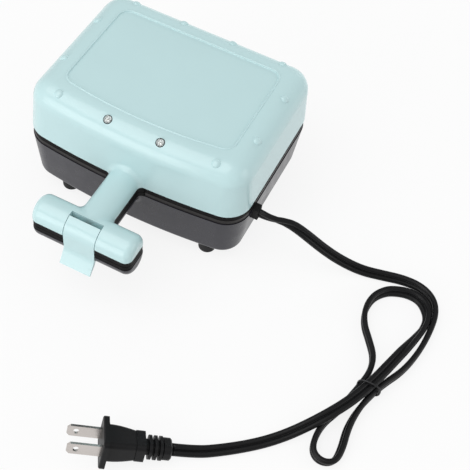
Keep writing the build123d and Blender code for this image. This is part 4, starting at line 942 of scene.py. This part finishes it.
@dataclass
class MainsCord:
    """Flat two-core cord from the bushing, folded and tied, to the plug.

    Attributes:
        width: across both cores.
        thickness: across one core.
        lobe: degrees that each core's round shows to either side.
        web: thickness between the cores.
        edge: height of the middle of a strand that stands on edge.
        flat: height of the middle of a strand that lies flat.
        tied: height of the middle of the strands that stand on edge in the tie.
        over: height of the strand that crosses the tie on top.
        corners: the route's corners, each with the cord's lay in degrees.
    """
    width: float = 6.5
    thickness: float = 3.3
    lobe: float = 148.0
    web: float = 1.1
    edge: float = 3.35
    flat: float = 1.75
    tied: float = 4.1
    over: float = 9.0
    corners: list[tuple[float, float, float, float]] = field(default_factory=list)

    def __post_init__(self) -> None:
        """Sets the corners of the route, each with the lay of the cord there."""
        edge, flat, over, tied = self.edge, self.flat, self.over, self.tied
        level, up = Lay.FLAT.value, Lay.EDGE.value
        self.corners = [
            (70.0, -30.4, 35.7, -90.0), (74.5, -30.4, 35.6, -98.0), (78.5, -30.0, 34.9, -112.0),
            (82.8, -28.6, 34.1, -122.0), (87.6, -27.0, 33.2, -101.0), (93.2, -25.7, 31.4, -70.0),
            (101.3, -24.6, 26.6, -48.0), (111.8, -22.2, 18.2, -39.0), (123.0, -19.2, 10.6, -38.0),
            (136.1, -15.6, 5.0, -45.0), (148.3, -11.4, 3.3, -52.0), (160.6, -8.2, edge, -64.0),
            (172.0, -8.0, edge, -76.0), (181.0, -12.9, edge, -84.0), (185.4, -21.6, edge, up),
            (186.2, -34.5, edge, up), (184.9, -50.1, edge, up), (180.9, -65.6, edge, up),
            (174.0, -78.9, tied, up), (169.6, -90.5, tied, up), (167.0, -101.6, edge, -80.0),
            (166.4, -112.4, edge, -72.0), (168.0, -123.2, edge, -72.0), (167.8, -131.4, edge, -75.0),
            (163.7, -134.9, edge, -80.0), (158.3, -134.8, edge, up), (154.3, -131.2, edge, up),
            (153.1, -123.2, edge, up), (154.2, -114.2, edge, up), (158.2, -105.2, edge, up),
            (160.6, -95.8, tied, up), (163.0, -86.2, tied, up), (164.9, -76.0, tied, up),
            (163.6, -65.5, edge, up), (157.4, -56.6, edge, up), (150.9, -48.3, edge, up),
            (147.7, -38.7, edge, -84.0), (148.8, -28.3, edge, -72.0), (154.0, -20.8, 3.2, -58.0),
            (159.6, -17.4, 3.0, -48.0), (166.5, -15.1, 2.8, -40.0), (173.9, -15.6, 2.6, -34.0),
            (179.2, -20.3, 2.9, -46.0), (182.1, -26.4, 3.2, -68.0), (182.2, -34.4, 3.6, -72.0),
            (179.6, -45.0, 5.3, -46.0), (176.3, -56.6, 7.2, -12.0), (173.1, -68.3, over, level),
            (169.8, -79.4, over, level), (165.8, -90.2, over, level), (161.0, -100.8, over, level),
            (155.0, -111.2, over, level), (148.0, -120.6, 6.6, level), (140.1, -129.6, 3.4, level),
            (131.5, -138.2, flat, level), (122.8, -145.9, flat, level), (113.0, -153.6, 2.1, 10.0),
            (102.5, -161.1, 3.1, 18.0), (90.57, -167.06, 5.72, 24.3),
        ]

    def profile(self) -> list[Pair]:
        """Goes round the cord's section.

        Returns:
            Its points, width then thickness.
        """
        half, radius = (self.width - self.thickness) / 2, self.thickness / 2
        points = []
        for side in (1, -1):
            for step in range(-LOBE_STEPS, LOBE_STEPS + 1):
                turn = math.radians(step * self.lobe / LOBE_STEPS)
                points.append((side * (half + radius * math.cos(turn)), side * radius * math.sin(turn)))
            points.append((0.0, side * self.web / 2))
        return points

    def build(self, tie: Object) -> Object:
        """Args:
            tie: the tie round its fold; not used.

        Returns:
            The jacket.
        """
        corners = [at(x, y, z) for x, y, z, _ in self.corners]
        line = route_line("cord_route", corners)
        lays = self.lays_along(line, corners)
        ring = self.profile()
        points, faces = [], []
        for index, (here, lay) in enumerate(zip(line, lays)):
            ahead = (line[min(index + 1, len(line) - 1)] - line[max(index - 1, 0)]).normalized()
            side = ahead.cross(Vector((0, 0, 1))).normalized()
            rise = side.cross(ahead)
            wide = side * math.cos(lay) + rise * math.sin(lay)
            thick = wide.cross(ahead)
            points += [here + wide * (u * MM) + thick * (v * MM) for u, v in ring]
        count, rings = len(ring), len(line)
        for row in range(rings - 1):
            for k in range(count):
                a, b = row * count + k, row * count + (k + 1) % count
                faces.append((a, b, b + count, a + count))
        faces.append(tuple(reversed(range(count))))
        faces.append(tuple(range((rings - 1) * count, rings * count)))
        jacket = mesh_piece("cord_jacket", points, faces, CORD_VINYL)
        outward(jacket)
        self.lay_uv(jacket, line, count)
        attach(jacket, "base")
        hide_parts("power_cord")
        return jacket

    def lays_along(self, line: Sequence[Vector], corners: Sequence[Vector]) -> list[float]:
        """Blends the lay between corners.

        Args:
            line: points along the route.
            corners: the route's corners.

        Returns:
            The lay at each point of the line, in radians.
        """
        nearest, start = [], 0
        for corner in corners:
            reach = range(start, min(len(line), start + ROUTE_SEARCH))
            start = min(reach, key=lambda i: (line[i] - corner).length)
            nearest.append(start)
        lays = []
        for index in range(len(line)):
            after = next((k for k, i in enumerate(nearest) if i >= index), len(nearest) - 1)
            before = max(after - 1, 0)
            span = nearest[after] - nearest[before]
            share = (index - nearest[before]) / span if span > 0 else 1.0
            ease = min(max(share, 0.0), 1.0)
            low, high = self.corners[before][3], self.corners[after][3]
            lays.append(math.radians(low + (high - low) * ease))
        return lays

    def lay_uv(self, jacket: Object, line: Sequence[Vector], count: int) -> None:
        """Maps the jacket, metres along it and turns round it.

        Args:
            jacket: the jacket.
            line: points along the route.
            count: points round the section.
        """
        along = [0.0]
        for a, b in zip(line, line[1:]):
            along.append(along[-1] + (b - a).length)
        layer = jacket.data.uv_layers.new(name="jacket")
        for face in jacket.data.polygons:
            steps = [jacket.data.loops[i].vertex_index % count for i in face.loop_indices]
            wraps = max(steps) - min(steps) > count / 2
            for loop, step in zip(face.loop_indices, steps):
                row = jacket.data.loops[loop].vertex_index // count
                turn = (step + count if wraps and step < count / 2 else step) / count
                layer.data[loop].uv = (along[row], turn)


@dataclass
class CordTie:
    """The wire tie that holds the three strands of the fold.

    Attributes:
        middle: its middle about the body's middle.
        heading: degrees that the strands run at there.
        reach: half its width and half its height.
        wire: radius of the coated wire.
        squareness: 2 for an oval, more for a squarer ring.
        steps: points round the ring.
    """
    middle: Triple = (167.8, -85.6, 6.1)
    heading: float = 270.0
    reach: Pair = (6.4, 5.6)
    wire: float = 0.5
    squareness: float = 2.8
    steps: int = 72

    def build(self) -> Object:
        """Bends the ring round the strands.

        Returns:
            The ring.
        """
        turn = math.radians(self.heading + 90)
        across = Vector((math.cos(turn), math.sin(turn), 0.0))
        points = []
        for step in range(self.steps):
            angle = math.radians(step * 360 / self.steps)
            wide, high = (math.copysign(abs(share) ** (2 / self.squareness), share) * reach
                          for share, reach in zip((math.cos(angle), math.sin(angle)), self.reach))
            points.append(at(*self.middle) + across * (wide * MM) + Vector((0, 0, high * MM)))
        made = grown_piece("cord_tie_ring", wire_tree("tie_wire", TIE_SIDES), points,
                           {"Radius": self.wire * MM}, TIE_PLASTIC, ring=True)
        outward(made)
        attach(made, "base")
        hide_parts("cord_tie")
        log.info("tie: %s", made.name)
        return made


# Stage

WHITE = (1.0, 1.0, 1.0, 1.0)


@dataclass(frozen=True)
class Softbox:
    """A square soft lamp.

    Attributes:
        name: its name.
        place: where it hangs about the body's middle.
        target: what it points at.
        size: its side in metres.
        level: how bright it makes a white surface that faces it, where 1 is white.
        mirrored: whether glossy surfaces show it.
    """
    name: str
    place: Triple
    target: Triple
    size: float
    level: float
    mirrored: bool = True

    def hang(self) -> None:
        """Hangs the lamp."""
        ray = at(*self.target) - at(*self.place)
        data = bpy.data.lights.new(self.name, "AREA")
        data.size = self.size
        data.energy = self.level * math.pi ** 2 * ray.length_squared
        made = linked(self.name, data)
        made.location = at(*self.place)
        made.rotation_mode = "QUATERNION"
        made.rotation_quaternion = ray.to_track_quat("-Z", "Y")
        made.visible_glossy = self.mirrored


@dataclass
class Studio:
    """The pale floor, soft lamps and the camera.

    Attributes:
        eye: the camera's place about the body's middle.
        axes: the camera's right, up and back.
        lens: focal length.
        sensor: width of the camera's sensor.
        reach: the nearest and farthest distance that the camera sees, in metres.
        floor: half the floor's side, in metres.
        tone: how light the floor is to the lamps.
        glow: share of plain white in what the camera sees of the floor.
        surround: how bright the surround is to all but the camera, which sees plain white.
        lamps: the soft lamps.
    """
    eye: Triple = (164.47, -345.31, 461.83)
    axes: tuple[Triple, ...] = (
        (0.8944, 0.4367, 0.0972), (-0.4074, 0.7054, 0.5800), (0.1847, -0.5583, 0.8088))
    lens: float = 72.84
    sensor: float = 36.0
    reach: Pair = (0.01, 20.0)
    floor: float = 6.0
    tone: float = 0.86
    glow: float = 0.85
    surround: float = 0.5
    lamps: tuple[Softbox, ...] = (
        Softbox("overhead_softbox", (-200, -330, 850), (0, -20, 40), 0.8, 0.5),
        Softbox("front_softbox", (-350, -900, 240), (0, -60, 40), 0.6, 0.36),
        Softbox("back_softbox", (150, 900, 240), (0, 0, 60), 0.4, 0.32, mirrored=False),
        Softbox("right_softbox", (850, 100, 300), (60, -20, 30), 0.5, 0.16))

    def build(self) -> None:
        """Sets the stage."""
        self.set_view()
        self.lay_floor()
        self.light()
        self.place_camera()

    def set_view(self) -> None:
        """Shows colours as they are written."""
        bpy.context.scene.view_settings.view_transform = "Standard"

    def emptied(self, owner: bpy.types.Material | bpy.types.World) -> tuple[Tree, Node]:
        """Empties the tree of a material or of the world.

        Args:
            owner: what has the tree.

        Returns:
            The tree, and in it a node that tells which rays see the result.
        """
        owner.use_nodes = True
        owner.node_tree.nodes.clear()
        return owner.node_tree, add(owner.node_tree, "ShaderNodeLightPath")

    def lay_floor(self) -> None:
        """Lays a pale floor that the camera sees as near white, with the object's shadow kept."""
        size = self.floor
        data = bpy.data.meshes.new("floor")
        corners = [(x, y, 0) for x, y in ((-size, -size), (size, -size), (size, size), (-size, size))]
        data.from_pydata(corners, [], [range(4)])
        material = bpy.data.materials.new("pale_studio_floor")
        tree, path = self.emptied(material)
        seen = calc(tree, "MAXIMUM", path.outputs["Is Camera Ray"], path.outputs["Is Glossy Ray"])
        seen = calc(tree, "MAXIMUM", seen, path.outputs["Is Transmission Ray"])
        matte = add(tree, "ShaderNodeBsdfDiffuse", {"Color": (self.tone, self.tone, self.tone, 1.0)})
        glow = add(tree, "ShaderNodeEmission", {"Color": WHITE, "Strength": 1.0})
        mix = add(tree, "ShaderNodeMixShader", {
            0: calc(tree, "MULTIPLY", seen, self.glow), 1: matte, 2: glow})
        add(tree, "ShaderNodeOutputMaterial", {"Surface": mix})
        data.materials.append(material)
        floor = linked("floor", data)

    def light(self) -> None:
        """Makes an even surround and hangs the soft lamps."""
        world = bpy.data.worlds.new("surround")
        bpy.context.scene.world = world
        tree, path = self.emptied(world)
        even = add(tree, "ShaderNodeBackground", {"Color": WHITE, "Strength": self.surround})
        white = add(tree, "ShaderNodeBackground", {"Color": WHITE, "Strength": 1.0})
        mix = add(tree, "ShaderNodeMixShader", {0: path.outputs["Is Camera Ray"], 1: even, 2: white})
        add(tree, "ShaderNodeOutputWorld", {"Surface": mix})
        for lamp in self.lamps:
            lamp.hang()

    def place_camera(self) -> None:
        """Stands the camera where the photograph was taken from."""
        data = bpy.data.cameras.new("camera")
        data.sensor_width = self.sensor
        data.lens = self.lens
        camera = linked("camera", data)
        turn = Matrix(self.axes).transposed()
        camera.matrix_world = Matrix.Translation(at(*self.eye)) @ turn.to_4x4()
        data.clip_start, data.clip_end = self.reach
        bpy.context.scene.camera = camera


def coated(finish: Finish, *names: str) -> dict[str, Finish]:
    """The same finish for several nodes."""
    return dict.fromkeys(names, finish)


LID = SubAssembly("lid", {
    "lid_cover": AQUA_ABS, "lamp_board": PAPER_BOARD,
    # The lid frame and upper handle strip are black nylon whose near-black finish also paints the shadow
    # in the gap between lid and base.
    **coated(BLACK_NYLON_AND_GAP_SHADE, "lid_frame", "upper_handle_strip"),
    **coated(CLEAR_EPOXY, "power_lamp", "ready_lamp"),
    **coated(ZINC_STEEL, "lamp_board_screws", "lid_screws", "upper_handle_screws")})
LATCH = SubAssembly("latch", {"latch_clip": AQUA_ABS, **coated(ZINC_STEEL, "latch_pin", "latch_spring")})
HINGE = SubAssembly("hinge", coated(ZINC_STEEL, "left_hinge_pin", "right_hinge_pin"))
# The lower handle strip is black nylon whose near-black finish also paints the shadow in the gap between
# the handle halves.
BASE = SubAssembly("base", {
    "base_shell": CHARCOAL_ABS, "base_frame": PHENOLIC, "lower_handle_strip": BLACK_NYLON_AND_GAP_SHADE,
    **coated(ZINC_STEEL, "case_screws", "lower_handle_screws"),
    **coated(RUBBER, "front_left_foot", "back_left_foot", "front_right_foot", "back_right_foot")})
HEATING = SubAssembly("heating", {
    **coated(NONSTICK, "upper_plate", "lower_plate"), **coated(SHEATH, "upper_heater", "lower_heater"),
    **coated(ZINC_STEEL, "upper_plate_screws", "lower_plate_screws", "upper_heater_clamp",
             "lower_heater_clamp", "upper_clamp_screw", "lower_clamp_screw"),
    **coated(SHEET_ALUMINIUM, "upper_heat_shield", "lower_heat_shield", "thermostat"),
    "thermal_fuse": STEATITE})
MAINS = SubAssembly("mains", {
    "cord_bushing": RUBBER, "cord_clamp": BLACK_NYLON_AND_GAP_SHADE, "clamp_bar_screws": ZINC_STEEL,
    "terminal_block": STEATITE, "terminal_screws": BRASS, "power_cord": CORD_VINYL,
    "cord_tie": TIE_PLASTIC, "plug_body": PLUG_VINYL, "plug_blades": NICKEL_BLADE})


def main() -> None:
    """Builds the pieces in order and sets the stage."""
    logging.basicConfig(level=logging.INFO, format="%(name)s: %(message)s")
    Studio().build()
    MainsCord().build(CordTie().build())
    for assembly in (LID, LATCH, HINGE, BASE, HEATING, MAINS):
        assembly.build()
    Screws().build()
    LidRelief().build()
    IndicatorLamps().build()


if __name__ == "__main__":
    main()
